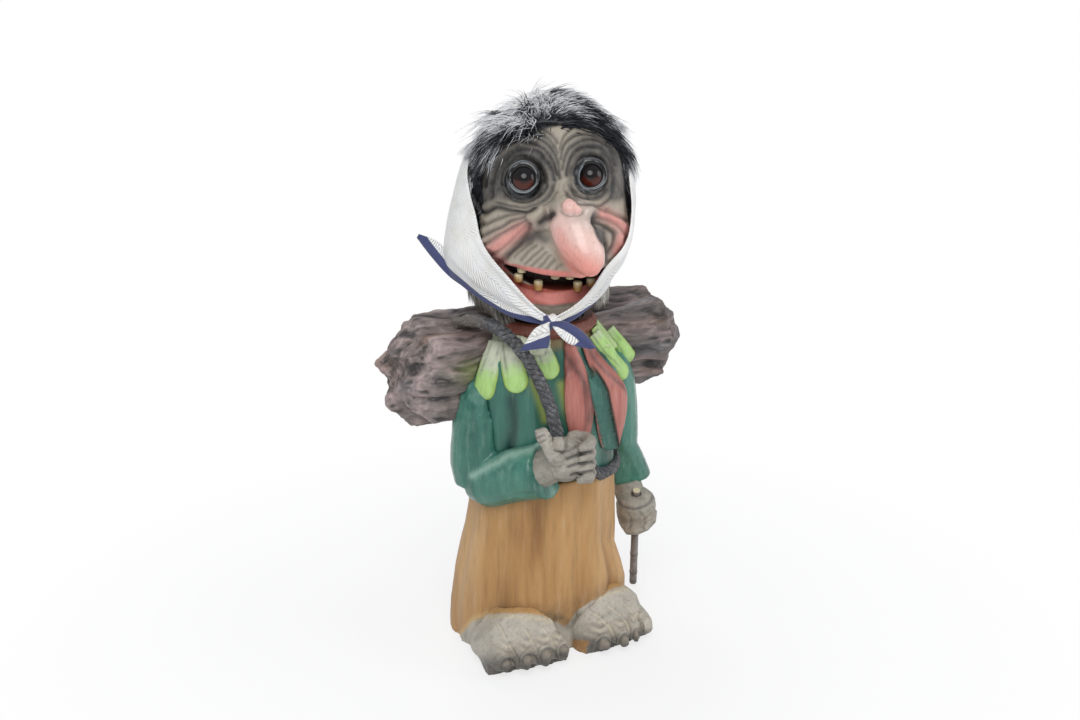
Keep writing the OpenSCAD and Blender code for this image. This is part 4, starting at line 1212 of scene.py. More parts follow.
def sheet_mesh(name, G, UV, rim):
    """A cloth of a grid of points. rim is the distance from its dark edge"""
    rows, cols = G.shape[:2]
    idx = np.arange(rows * cols).reshape(rows, cols)
    F = np.stack([idx[:-1, :-1], idx[:-1, 1:], idx[1:, 1:], idx[1:, :-1]], axis=-1).reshape(-1, 4)
    ob = faces_mesh(name, G.reshape(-1, 3), F)
    map_sheet(ob, UV.reshape(-1, 2))
    value(ob, "rim", rim.ravel())
    return ob


def thicken(ob, thick):
    """Gives a sheet its thickness, half to each side"""
    m = ob.modifiers.new("Cloth", "SOLIDIFY")
    m.thickness = thick * MM
    m.offset = 0
    finish_modifiers(ob)


class TROLL_OT_headscarf(bpy.types.Operator):
    """Cotton kerchief tied under the chin"""
    bl_idname = "troll.headscarf"
    bl_label = "Headscarf"

    def execute(self, context):
        mat = cotton()
        n_t, n_k = 300, 96
        T, K = np.meshgrid(np.linspace(0, 25, n_t + 1), np.linspace(0, 1, n_k + 1))
        K = K ** 0.9
        L = cloth_at(T, K * (1 - 0.20 * bell(T - 5.4, 2.9)), 1.0 + 0 * T)
        # the cloth hangs loose behind the figure's right cheek, and soft folds run to the knot
        sides = ease((np.abs(T - 12.5) - 3) / 4)
        loose = bell(T - 7.2, 2.7) * ease(K * 2.2) - bell(T - 19.0, 3.0) * ease((K - 0.15) / 0.5)
        flat = np.stack([T.ravel() * 0.22, K.ravel() * 6.5, 0 * T.ravel()], axis=1)
        n = noise(flat, 1, 61).reshape(T.shape)
        m = noise(L.reshape(-1, 3), 22, 62).reshape(T.shape)
        away = unit((L - SHELL_C) * [1, 1, 0.4])
        folds = 8.5 * loose + (0.3 + 1.5 * sides) * n * ease(K * 6) + 0.9 * m - 0.8 * bell(K, 0.012)
        L = L + away * folds[..., None]
        step = np.linalg.norm(np.diff(L, axis=0), axis=2)
        down = np.concatenate([np.zeros((1, n_t + 1)), np.cumsum(step, axis=0)])
        rim = down[-1][None] - down
        UV = np.stack([T * 2.6, down / 10.0], axis=-1)
        ob = sheet_mesh("cotton_headscarf", from_head(L.reshape(-1, 3)).reshape(L.shape), UV, rim)
        outward_sheet(ob)
        thicken(ob, size("cloth"))
        flap = scarf_flap()
        knot = scarf_knot()
        fit(ob, mat, ["headscarf"])
        fit(flap, mat, ())
        for k in knot:
            fit(k, mat, ())
        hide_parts("scarf_knot")
        return {"FINISHED"}


def outward_sheet(ob):
    """Turns the sheet's faces away from the head"""
    P, N = points(ob)
    if np.mean(np.sum(N * unit(P - from_head([SHELL_C])[0]), axis=1)) < 0:
        rework(ob, FLIP)


# Thickness of the cloth in the corner and the tails
RIBBON_CLOTH = 1.0


def ribbon(name, left, right, lift, steps, across, fold, rim_of, shift=0.0):
    """A strip of cloth between two edges. fold is how far its middle stands off, along lift"""
    lc, rc = curve(left, 10), curve(right, 10)
    t = np.linspace(0, 1, steps)
    lc, rc = (np.stack([np.interp(t, np.linspace(0, 1, len(c)), c[:, i]) for i in range(3)], axis=1)
              for c in (lc, rc))
    s = np.linspace(0, 1, across)
    G = lc[:, None] * (1 - s)[None, :, None] + rc[:, None] * s[None, :, None]
    wave = np.sin(np.pi * s) * 0.8 + 0.35 * np.sin(3 * np.pi * s + 1)
    growth = 0.4 + 0.6 * np.sin(np.pi * t * 0.9)
    G = G + np.asarray(lift)[None, None] * (fold * wave)[None, :, None] * growth[:, None, None]
    wide = np.linalg.norm(rc - lc, axis=1)
    long = np.concatenate([[0], np.cumsum(np.linalg.norm(np.diff((lc + rc) / 2, axis=0), axis=1))])
    UV = np.stack([shift + s[None] * wide[:, None] / 10 + 0 * t[:, None],
                   0 * s[None] + long[:, None] / 10], axis=-1)
    S, _ = np.meshgrid(s, t)
    ob = sheet_mesh(name, G, UV, rim_of(S, wide[:, None], long[:, None]))
    thicken(ob, RIBBON_CLOTH)
    return ob


# Where the cloth's loose corner, its knot and its two tails are seen
CORNER_TIP = (417, 236)
CORNER_TOP = ((464, 262), (452, 254), (436, 241))
CORNER_LOW = ((468, 290), (449, 276), (431, 256))
KNOT_AT = (551, 322)
RIGHT_TAIL = (((535, 329), (524, 345), (520, 351)), ((549, 324), (550, 338), (548, 348)))
LEFT_TAIL = (((555, 330), (568, 343), (590, 349)), ((566, 322), (583, 332), (596, 348)))


def scarf_flap():
    """The loose corner of the cloth behind the cheek"""
    root = from_head(on_shell(np.array([196.0]), np.array([80.0]), HAIR_R[None]))[0]
    tip = placed(*CORNER_TIP, root + [-20, 10, 0])
    top = [placed(*at, root + by) for at, by in zip(CORNER_TOP, ([10, 0, 0], [0, 0, 0], [0, 0, 0]))]
    low = [placed(*at, root + by) for at, by in zip(CORNER_LOW, ([6, -2, 0], [-4, -2, 0], [-4, 0, 0]))]
    top.append(tip + [2, 0, 1.5])
    low.append(tip - [0, 0, 1.5])
    return ribbon("scarf_corner", top, low, BACK, 40, 18, 3.0, lambda S, w, l: (1 - S) * w)


def scarf_knot():
    """The knot under the chin with its two tails"""
    centre = placed(*KNOT_AT, from_head([[-12, -80, -103]])[0])
    clear_selection()
    bpy.ops.mesh.primitive_uv_sphere_add(segments=48, ring_count=28, radius=1, location=(0, 0, 0))
    ob = bpy.context.object
    ob.name = "scarf_knot_wrap"
    P, _ = points(ob)
    P = P * MM
    fold = 1 + 0.16 * np.sin(6 * np.arctan2(P[:, 2], P[:, 0]) + 4 * P[:, 1]) * (1 - P[:, 1] ** 2)
    Q = RIGHT * (P[:, 0] * 8.2 * fold)[:, None] + UP * (P[:, 2] * 7.0 * fold)[:, None] + \
        BACK * (P[:, 1] * 6.0)[:, None]
    place(ob, centre + Q)
    bpy.ops.object.shade_smooth()
    for att in list(ob.data.uv_layers):
        ob.data.uv_layers.remove(att)
    map_sheet(ob, np.stack([P[:, 0] * 0.8, P[:, 2] * 0.9], axis=1))
    value(ob, "rim", 12 * (P[:, 0] * 0.9 + 0.5 * P[:, 2] + 0.75))
    outward(ob)
    near = centre + BACK * 5

    def edge(start, line, forward):
        """One edge of a tail, from the knot along its line"""
        laid = [placed(*at, near + BACK * by) for at, by in zip(line, (forward, 0, 0))]
        return [centre + BACK * start] + laid

    right = ribbon("scarf_tail_right", edge(3, RIGHT_TAIL[0], 0), edge(4, RIGHT_TAIL[1], 3), BACK,
                   30, 14, 3.0, lambda S, w, l: (l.max() - l) + 1.5 - 3 * S, 3.3)
    left = ribbon("scarf_tail_left", edge(3, LEFT_TAIL[0], 2), edge(4, LEFT_TAIL[1], 4), BACK,
                  34, 14, 3.6, lambda S, w, l: np.minimum((1 - S) * w + 1, (l.max() - l) * 0.7), 7.1)
    return [ob, right, left]


# Skirt and jacket

# Search trees of the nodes' forms, made when first needed
TREES = {}


def on_surface(x, y, nodes):
    """The nearest place on the nodes' forms seen at x, y and the way it faces, or None where there is none"""
    way = unit(sight(x, y))
    best, least = None, 1e9
    for node in nodes:
        if node not in TREES:
            me = frame["nodes"][node].data
            TREES[node] = BVHTree.FromPolygons([v.co for v in me.vertices], [f.vertices for f in me.polygons])
        at, face, _, far = TREES[node].ray_cast(Vector(EYE * MM), Vector(way))
        if at is not None and far < least:
            best, least = (np.array(at) / MM, np.array(face)), far
    return best


def tube_faces(rings, around, first=0):
    """Faces of a tube whose two end points follow its rings"""
    idx = first + np.arange(rings * around).reshape(rings, around)
    nxt = np.roll(idx, -1, axis=1)
    end = first + rings * around
    faces = [tuple(f) for f in np.stack([idx[:-1], nxt[:-1], nxt[1:], idx[1:]], axis=-1).reshape(-1, 4)]
    faces += [(end, nxt[0][i], idx[0][i]) for i in range(around)]
    faces += [(end + 1, idx[-1][i], nxt[-1][i]) for i in range(around)]
    return faces


def plump(name, lines, around=24):
    """Plump strips: each has its stations, the way they face, half widths and heights"""
    V, F, along, across = [], [], [], []
    for C, face, half, high in lines:
        step = unit(np.gradient(C, axis=0))
        side = unit(np.cross(face, step))
        q = np.linspace(0, 2 * math.pi, around, endpoint=False)
        n = len(C)
        first = len(V)
        sink = np.where(np.sin(q) < 0, 0.7, 1.0) * np.sin(q)
        G = C[:, None] + side[:, None] * (half[:, None] * np.cos(q))[..., None] + \
            face[:, None] * (high[:, None] * sink)[..., None]
        V += list(G.reshape(-1, 3)) + [C[0], C[-1]]
        along += list(np.repeat(np.linspace(0, 1, n), around)) + [0, 1]
        across += list(np.tile(np.cos(q), n)) + [0, 0]
        F += tube_faces(n, around, first)
    ob = faces_mesh(name, np.array(V), F)
    rework(ob, FACE_OUT)
    return ob, np.array(along), np.array(across)


def streaks(P, squash, grain, seed):
    """Upright streaks. A smaller squash makes them longer"""
    return rough(P * [1, 1, squash], grain, seed)


# Where the skirt gives way to the bare feet, seen from the front
FOOT_LINE = [(440, 655), (462, 632), (472, 620), (488, 615), (513, 614), (540, 617), (556, 621), (566, 626),
             (576, 612), (590, 601), (606, 592), (622, 587), (640, 583)]
SKIRT_HEM = [(500, 612), (545, 614), (568, 609), (590, 600), (615, 588)]
# the line of the painted shade between the feet
SHADE_BETWEEN_FEET_LINE = [(550, 618), (562, 620), (570, 625), (578, 616)]
# The two bright folds with a painted highlight: one leans, the other is upright
NEAR_HIGHLIGHT, FAR_HIGHLIGHT = (470, 560), 604
# How far the skirt's left side is moved outward, by rows of the view
SKIRT_FLARE = ([515, 540, 558, 574, 596], [0, -3, 2.5, 6, 4])


def below_skirt(XY):
    """How far a place lies below the skirt's edge, in pixels of the view"""
    line = np.array(FOOT_LINE, float)
    return XY[:, 1] - np.interp(XY[:, 0], line[:, 0], line[:, 1])


class TROLL_OT_skirt(bpy.types.Operator):
    """Ochre skirt with brushed pleats"""
    bl_idname = "troll.skirt"
    bl_label = "Skirt"

    def execute(self, context):
        ob, P, N, XY = carving("skirt", "painted_skirt", 2.1, 5)
        X, Y = XY.T
        wall = before(np.abs(N[:, 2]), 0.75, 0.2) * ease(P[:, 2] / 6)
        broad = streaks(P, 0.16, 22, 71)
        fine = streaks(P, 0.08, 5.5, 72)
        lift = (2.3 * broad + 0.3 * fine) * wall
        flare = np.interp(Y, *SKIRT_FLARE) * area(XY, "skirt_side")
        place(ob, P + N * lift[:, None] + RIGHT * flare[:, None])
        ochre = rgb("ochre")
        # the pleats' ridges are painted lighter and their hollows darker: painted highlight and shade, with
        # the brushed streaks
        col = mix(ochre, ochre * [1.30, 1.42, 1.65], ease(0.30 + broad * 0.9))
        col = mix(col, ochre * [0.55, 0.46, 0.42], 0.75 * ease(-broad * 1.7 - 0.25 + 0.3 * fine))
        col = mix(col, ochre * [0.6, 0.5, 0.45], 0.35 * ease(-fine * 2 - 0.4))
        # painted highlight on the two bright folds
        fold_highlight = bell(X - NEAR_HIGHLIGHT[0] - 0.12 * (NEAR_HIGHLIGHT[1] - Y), 11) + bell(X - FAR_HIGHLIGHT, 10)
        col = mix(col, TONES["skirt_highlight"], 0.45 * fold_highlight * ease(0.6 + 0.8 * broad))
        # darker edge over the feet
        front = facing(N, 0.2)
        hem = to_line(XY, SKIRT_HEM)
        patchy = 0.75 + 0.5 * rough(P, 5, 73)
        col = mix(col, TONES["dark_hem"], front * 0.6 * bell(hem, 11) * patchy)
        below = below_skirt(XY)
        under = ease(below / 1.5) * front
        col = mix(col, rgb("hands") * (1.0 + 0.2 * rough(P, 9, 74))[:, None], under)
        # a lighter band along the skirt's edge just above the feet
        light_edge = front * 0.55 * bell(below + 1, 3.0) * area(XY, "near_hem")
        col = mix(col, TONES["light_hem"], light_edge)
        # painted shade between the feet, under the hem
        shade_between_feet = bell(to_line(XY, SHADE_BETWEEN_FEET_LINE), 6)
        col = mix(col, TONES["shade_between_feet"], front * 0.85 * shade_between_feet * patchy)
        paint(ob, col, 0.35)
        fit(ob, painted("Ochre Paint", 0.35, 0.62, (1, 1, 0.12), 0.20, 0.35, 200.0), ["skirt"])
        return {"FINISHED"}


def paint_green(ob, seed, pale):
    """The streaky green of the jacket and the sleeves, with the points and streaks that it is laid on"""
    P, N = points(ob)
    XY = seen(P)
    teal = rgb("teal")
    broad = streaks(P, 0.12, 15, seed)
    fine = streaks(P, 0.06, 4, seed + 3)
    col = mix(teal, teal * [2.4, 1.85, 1.85], ease(0.25 + 0.8 * broad + pale))
    col = mix(col, teal * [0.22, 0.28, 0.32], 0.8 * ease(-1.6 * broad - 0.35 + 0.3 * fine - pale))
    return P, N, XY, col, broad, fine


# Lines of the jacket and the sleeves as they are seen, and the half widths of the lime strokes
CHEST_FOLD = [(512, 400), (514, 425), (510, 450)]
SIDE_FOLD = [(592, 360), (600, 400), (604, 435), (612, 462)]
LIME_STROKES = (([(532, 380), (540, 402), (545, 420)], 4), ([(562, 385), (568, 410), (578, 432)], 5),
                ([(462, 385), (466, 400), (462, 420)], 6))
SLEEVE_RIDGE = [(472, 476), (505, 458), (531, 445)]
CUFF_RIDGE = [(532, 446), (537, 470), (546, 492)]
# How far the left sleeve is moved outward, by rows of the view
SLEEVE_FLARE = ([385, 420, 440, 452, 480, 495], [0, -4, -7, -1, 10.5, 10.5])
SLEEVES = (("right_sleeve", "painted_sleeve_right", 91), ("left_sleeve", "painted_sleeve_left", 95))


class TROLL_OT_jacket(bpy.types.Operator):
    """Green jacket and sleeves"""
    bl_idname = "troll.jacket"
    bl_label = "Jacket"

    def execute(self, context):
        mat = painted("Green Paint", 0.2, 0.5, (1, 1, 0.10), 0.22, 0.3, 240.0)
        ob = blank("jacket", "painted_jacket", 2.1, 4)
        P, N, XY, col, broad, fine = paint_green(ob, 81, 0.0)
        front = facing(N, 0.2)
        fold = to_line(XY, curve(CHEST_FOLD, 4))
        lift = 1.3 * broad + 0.35 * fine - 2.2 * front * bell(fold, 5)
        place(ob, P + N * lift[:, None])
        # painted shade in the chest's fold
        col = mix(col, rgb("teal") * [0.25, 0.3, 0.34], 0.85 * front * bell(fold, 6))
        for line, w in LIME_STROKES:
            col = mix(col, TONES["lime"], 0.75 * front * bell(to_line(XY, curve(line, 4)), w))
        # painted shade along the fold at the jacket's side
        side = to_line(XY, curve(SIDE_FOLD, 4))
        col = mix(col, TONES["side_fold_shade"], 0.85 * front * bell(side, 5))
        col = mix(col, TONES["jacket_neck"], past(P[:, 2], 318, 10))
        paint(ob, col, 0.6)
        fit(ob, mat, ["jacket"])
        for node, name, seed in SLEEVES:
            ob = blank(node, name, 1.6, 5)
            P, N, XY, col, broad, fine = paint_green(ob, seed, 0.35)
            Q = P + N * (0.8 * rough(P, 18, seed + 7) + 0.2 * fine)[:, None]
            if node == "right_sleeve":
                Q += RIGHT * (7.0 * area(XY, "right_cuff"))[:, None]
            else:
                # outward and a little back, clear of the stick's way up
                wider = np.interp(XY[:, 1], *SLEEVE_FLARE) * area(XY, "sleeve_side")
                Q += np.array([1.2, 0.5, 0.0]) * wider[:, None]
            place(ob, Q)
            # painted highlight on the sleeves' upward faces, in patches
            top = ease(N[:, 2] * 1.2 + 0.1)
            patchy = rough(P, 7, seed + 8)
            col = mix(col, TONES["sleeve_top_highlight"], 0.5 * top * ease(patchy + 0.35))
            if node == "right_sleeve":
                # painted highlights along the ridges of the right sleeve and its cuff
                front = facing(N, 0.2)
                ridge = to_line(XY, curve(SLEEVE_RIDGE, 4))
                col = mix(col, TONES["sleeve_ridge_highlight"], 0.7 * front * bell(ridge, 3.5))
                col = mix(col, TONES["cuff_ridge_highlight"], 0.6 * front * bell(to_line(XY, CUFF_RIDGE), 3))
            paint(ob, col, 0.7)
            fit(ob, mat, [node])
        return {"FINISHED"}


# Hands and feet


# The fingers' creases as they are seen: depth share, half width, points
FINGER_LINES = {
    "right_hand": [
        (1.0, 1.5, [(567, 459), (577, 455), (592, 452)]), (0.9, 1.4, [(568, 467), (578, 464), (593, 462)]),
        (0.9, 1.4, [(571, 475), (580, 473), (593, 471)]), (0.6, 1.2, [(551, 449), (563, 452), (577, 446)])],
    "left_hand": [
        (0.7, 1.6, [(617, 497), (622, 506), (636, 509), (649, 503), (653, 496)]),
        (0.5, 1.3, [(640, 512), (645, 519), (643, 528)]), (0.4, 1.3, [(628, 513), (631, 521), (629, 529)])],
}
# The right fist's stub of a thumb ends at this row, and the thumb beside the rope stands here
STUB_ROW = 437
THUMB_ROOT = (556, 462)
THUMB_LINE = [(556, 460), (550, 450), (545, 440), (541, 431), (540, 428)]
FISTS = (("right_hand", "painted_fist_right", 101, 0.72), ("left_hand", "painted_fist_left", 105, 0.74))


class TROLL_OT_hands(bpy.types.Operator):
    """Fists with creased fingers"""
    bl_idname = "troll.hands"
    bl_label = "Hands"

    def execute(self, context):
        mat = painted("Hand Paint", 0.35, 0.65, (1, 1, 1), 0.3, 0.4, 320.0)
        for node, name, seed, tone in FISTS:
            ob, P, N, XY = carving(node, name, 0.95, 4)
            front = facing(N, 0.25)
            lift = 0.35 * rough(P, 9, seed)
            dark = np.zeros(len(P))
            for depth, w, line in FINGER_LINES[node]:
                d = to_line(XY, curve(line, 4))
                lift -= depth * 1.2 * bell(d, w) * front
                dark = np.maximum(dark, 0.8 * depth * bell(d, w * 1.1) * front)
            Q = P + N * lift[:, None]
            if node == "right_hand":
                stub = area(XY, "thumb_stub")
                sunk = stub * np.maximum(STUB_ROW - XY[:, 1], 0) * 0.95
                Q -= UP * sunk[:, None] + BACK * (4 * stub)[:, None]
            place(ob, Q)
            base = rgb("hands") * tone
            n = rough(P, 8, seed + 4)
            col = mix(base * 0.8, base * 1.35, 0.5 + 0.55 * n)
            # painted shade on the faces that turn down
            col = mix(col, base * [0.35, 0.34, 0.33], 0.55 * ease(-N[:, 2] - 0.1))
            # painted shade in the creases between the fingers
            col = mix(col, TONES["finger_crease_shade"], dark)
            paint(ob, col, 0.3)
            fit(ob, mat, [node])
        fit(fist_thumb(), mat, ())
        return {"FINISHED"}


def fist_thumb():
    """The thumb that stands up beside the rope"""
    near = on_surface(*THUMB_ROOT, ("right_hand",))[0] + BACK
    XY = curve(THUMB_LINE, 6)
    t = np.linspace(0, 1, len(XY))
    C = np.array([placed(x, y, near) for x, y in XY]) - BACK * (9 * (1 - t) ** 2.5)[:, None]
    round_tip = np.sqrt(np.maximum(1 - (np.maximum(t - 0.68, 0) / 0.325) ** 2, 0.002))
    wide = 6.6 * round_tip * (1 + 0.08 * np.sin(t * 14))
    ob, along, across = plump("fist_thumb", [(C, np.repeat(BACK[None], len(C), axis=0), wide, wide * 0.95)])
    P, N = points(ob)
    rings = past(np.sin(along * 52 + across), 0.55, 0.3) * before(along, 0.8, 0.1) * past(along, 0.35, 0.1)
    base = rgb("hands") * 0.8
    col = mix(base * 0.85, base * 1.35, 0.5 + 0.5 * rough(P, 5, 108))
    col = mix(col, TONES["thumb_ring"], 0.6 * rings)
    nail = before(np.hypot((along - 0.9) / 0.085, across / 0.6), 1.1, 0.2) * (N @ BACK > 0)
    col = mix(col, TONES["thumb_nail"], 0.8 * nail)
    paint(ob, col, 0.3)
    return ob


FOOT_SHEET = ((440.0, 540.0), 7.127)
# Gaps between the toes: depth share, half width, points
TOE_LINES = [
    (1.3, 13, [(400, 590), (450, 665), (505, 770), (560, 870), (568, 940)]),
    (1.4, 13, [(590, 620), (640, 690), (685, 790), (702, 880), (700, 950)]),
    (1.4, 13, [(735, 630), (780, 690), (818, 780), (835, 860), (838, 930)]),
    (1.4, 13, [(1060, 500), (1150, 560), (1220, 640), (1245, 720), (1262, 800)]),
    (1.4, 12, [(1200, 470), (1280, 530), (1345, 610), (1368, 700), (1372, 780)]),
    (1.2, 11, [(1290, 440), (1370, 500), (1440, 560), (1465, 640), (1462, 720)]),
]
# Nails: middle, half width and half height. Knuckles: middle and reach.
NAILS = [(486, 905, 44, 50), (638, 885, 48, 62), (768, 850, 50, 68), (896, 800, 40, 48), (1172, 765, 46, 62),
         (1322, 738, 38, 58), (1428, 690, 34, 50), (1482, 640, 22, 44)]
KNUCKLES = [(485, 770, 60), (620, 740, 60), (740, 715, 62), (850, 690, 60), (1140, 650, 80), (1290, 600, 46),
            (1400, 560, 42), (1460, 545, 36)]
FEET = (("right_foot", "painted_foot_right", 111), ("left_foot", "painted_foot_left", 115))


class TROLL_OT_feet(bpy.types.Operator):
    """Bare feet with rounded nails"""
    bl_idname = "troll.feet"
    bl_label = "Feet"

    def execute(self, context):
        mat = painted("Foot Paint", 0.35, 0.62, (1, 1, 1), 0.28, 0.35, 320.0)
        for node, name, seed in FEET:
            ob = blank(node, name, 1.15, 8)
            P, N = points(ob)
            XY = on_sheet(P, FOOT_SHEET)
            X, Y = XY.T
            below = below_skirt(seen(P))
            front = facing(N, 0.25, 0.05)
            lift = 0.3 * rough(P, 8, seed)
            # dark is painted shade: between the toes near their ends, round the nails and in the hollows of
            # the knuckles' wrinkles. light is pale lines along the toes' gaps and a painted highlight on the
            # wrinkles' ridges
            dark, light, nail, low_nail = (np.zeros(len(P)) for _ in range(4))
            for depth, half, line in TOE_LINES:
                d = to_line(XY, curve(line, 4))
                lift -= depth * 1.3 * bell(d, half) * front
                light = np.maximum(light, 0.55 * bell(d, half * 0.5))
                dark = np.maximum(dark, 0.45 * bell(d, half * 2.2) * area(XY, "toe_ends"))
            for x, y, rx, ry in NAILS:
                r = spread(XY, (x, y), rx, ry)
                over = 1.2 * bell(r - 1.45, 0.2) * (Y < y + 10)
                lift += (1.5 * before(r, 1, 0.4) - 1.3 * bell(r - 1.15, 0.14) + over) * front
                nail = np.maximum(nail, before(r, 1.05, 0.2))
                low_nail = np.where(r < 1.2, (Y - y) / ry, low_nail)
                dark = np.maximum(dark, 0.85 * bell(r - 1.14, 0.12))
            for x, y, reach in KNUCKLES:
                r = np.hypot(X - x + 0.2 * (Y - y), (Y - y) * 0.8)
                ringed = np.cos(np.clip((Y - y + 0.5 * np.abs(X - x)) / 9.5, -40, 40)) * bell(r, reach)
                lift += 0.28 * ringed * front
                light = np.maximum(light, 0.45 * ease(ringed))
                dark = np.maximum(dark, 0.42 * ease(-ringed))
            Q = P + N * lift[:, None]
            # the outer side runs straight back, the inner side of the left foot reaches further in
            low = before(P[:, 2], 46, 24)
            if node == "right_foot":
                Q -= RIGHT * (9.5 * low * area(XY, "right_foot_side"))[:, None]
                tips = ease(below_slant(XY, "right_toes") / 120)
            else:
                Q -= RIGHT * (9.5 * low * area(XY, "left_foot_inside"))[:, None]
                Q -= RIGHT * (8.5 * area(XY, "left_foot_outside"))[:, None]
                tips = ease(below_slant(XY, "left_toes") / 110)
            Q[:, 2] = np.maximum(Q[:, 2], 0.05)
            place(ob, Q)
            base = rgb("hands")
            n = rough(P, 9, seed + 4)
            col = mix(base * 0.82, base * 1.2, 0.5 + 0.55 * n)
            # light and dark are laid on here: pale lines, painted highlight and painted shade
            col = mix(col, base * [1.55, 1.5, 1.35], light * front)
            col = mix(col, base * 0.3, np.clip(dark, 0, 1) * front)
            col = mix(col, base * [0.25, 0.25, 0.26], 0.92 * tips * front)
            horn = mix(base * [0.60, 0.56, 0.53], base * 0.17, ease((low_nail + 0.55) / 0.9))
            col = mix(col, horn, nail * front * 0.85)
            ochre = rgb("ochre")
            if node == "left_foot":
                patch = area(XY, "skirt_patch") * ease(below_slant(XY, "skirt_patch") / 14)
                col = mix(col, ochre * 0.85, 0.9 * patch * ease(-N[:, 0] + 0.1))
            above = ease((-below + 1.5 * n) / 2.5) * front
            col = mix(col, ochre * [1.10, 1.22, 1.42], above)
            col = mix(col, TONES["foot_edge"], 0.5 * bell(below - 2, 2.5) * front)
            paint(ob, col, 0.35)
            fit(ob, mat, [node])
        return {"FINISHED"}


# Ropes, wood and stick


# The carrying rope's middle as it is seen, the belt's half widths and height, and the length of a strand
ROPE_LINE = [(430, 318), (460, 320), (490, 331), (515, 345), (532, 365), (545, 385), (553, 410), (557, 440)]
BELT_HALF, BELT_HEIGHT, STRAND = (73, 62), 188, 7.0
# Each rope: its node, its piece, its grain, and how much it is slimmed
CORDS = (("carrying_rope", "cord_over_shoulder", 0.95, 1.4), ("rope_belt", "cord_belt", 1.2, 0.4))


def along_rope(XY):
    """How far along and beside the carrying rope's line points are seen"""
    line = curve(ROPE_LINE, 6)
    d = np.linalg.norm(XY[:, None] - line[None], axis=2)
    i = np.argmin(d, axis=1)
    run = np.concatenate([[0], np.cumsum(np.linalg.norm(np.diff(line, axis=0), axis=1))])
    way = unit(line[np.minimum(i + 1, len(line) - 1)] - line[np.maximum(i - 1, 0)])
    off = XY - line[i]
    return run[i] + np.sum(off * way, axis=1), off[:, 0] * -way[:, 1] + off[:, 1] * way[:, 0]


class TROLL_OT_ropes(bpy.types.Operator):
    """Belt and carrying rope"""
    bl_idname = "troll.ropes"
    bl_label = "Ropes"

    def execute(self, context):
        mat = painted("Rope Paint", 0.35, 0.7, (1, 1, 1), 0.35, 0.5, 420.0)
        for node, name, voxel, slim in CORDS:
            ob, P, N, XY = carving(node, name, voxel, 4)
            if node == "carrying_rope":
                run, beside = along_rope(XY)
                phase = (run + beside * 0.75) / STRAND
            else:
                turn = np.arctan2(P[:, 1] / BELT_HALF[1], P[:, 0] / BELT_HALF[0])
                phase = (turn * 70 + (P[:, 2] - BELT_HEIGHT) * 0.9) / STRAND
            phase = phase + 0.22 * rough(P, 11, 122)
            w = phase - np.floor(phase)
            groove = bell(w - 0.5, 0.12) * ease(0.75 + 0.9 * rough(P, 9, 123))
            wire = rough(P, 3.0, 121)
            lift = -0.9 * groove + 0.45 * wire - slim
            higher = np.zeros(len(P))
            if node == "carrying_rope":
                lift -= 2.2 * area(XY, "rope_behind")
            else:
                # the belt climbs behind the fist
                higher = 8.0 * area(XY, "belt_climb") * (P[:, 1] < 0)
            place(ob, P + N * lift[:, None] + UP * higher[:, None])
            base = rgb("rope")
            col = mix(base * 0.8, base * 1.9, ease(0.45 + wire))
            # painted shade in the grooves between the strands
            col = mix(col, base * [0.12, 0.12, 0.13], groove)
            # a painted highlight along each strand's edge, broken up by noise
            light_edge = 0.6 * bell(w - 0.62, 0.045) * ease(0.1 + 1.6 * rough(P, 6, 124))
            col = mix(col, TONES["strand_highlight"], light_edge)
            if node == "carrying_rope":
                col = mix(col, TONES["rope_end"], 0.8 * area(XY, "rope_on_bundle"))
            paint(ob, col, 0.3)
            fit(ob, mat, [node])
        return {"FINISHED"}


# Middle of the bundle in millimetres, and its slant
BUNDLE_C = np.array([12.0, 55.0, 291.0])
BUNDLE_SLANT = math.radians(4)
GREEN_STAIN = (478, 372)


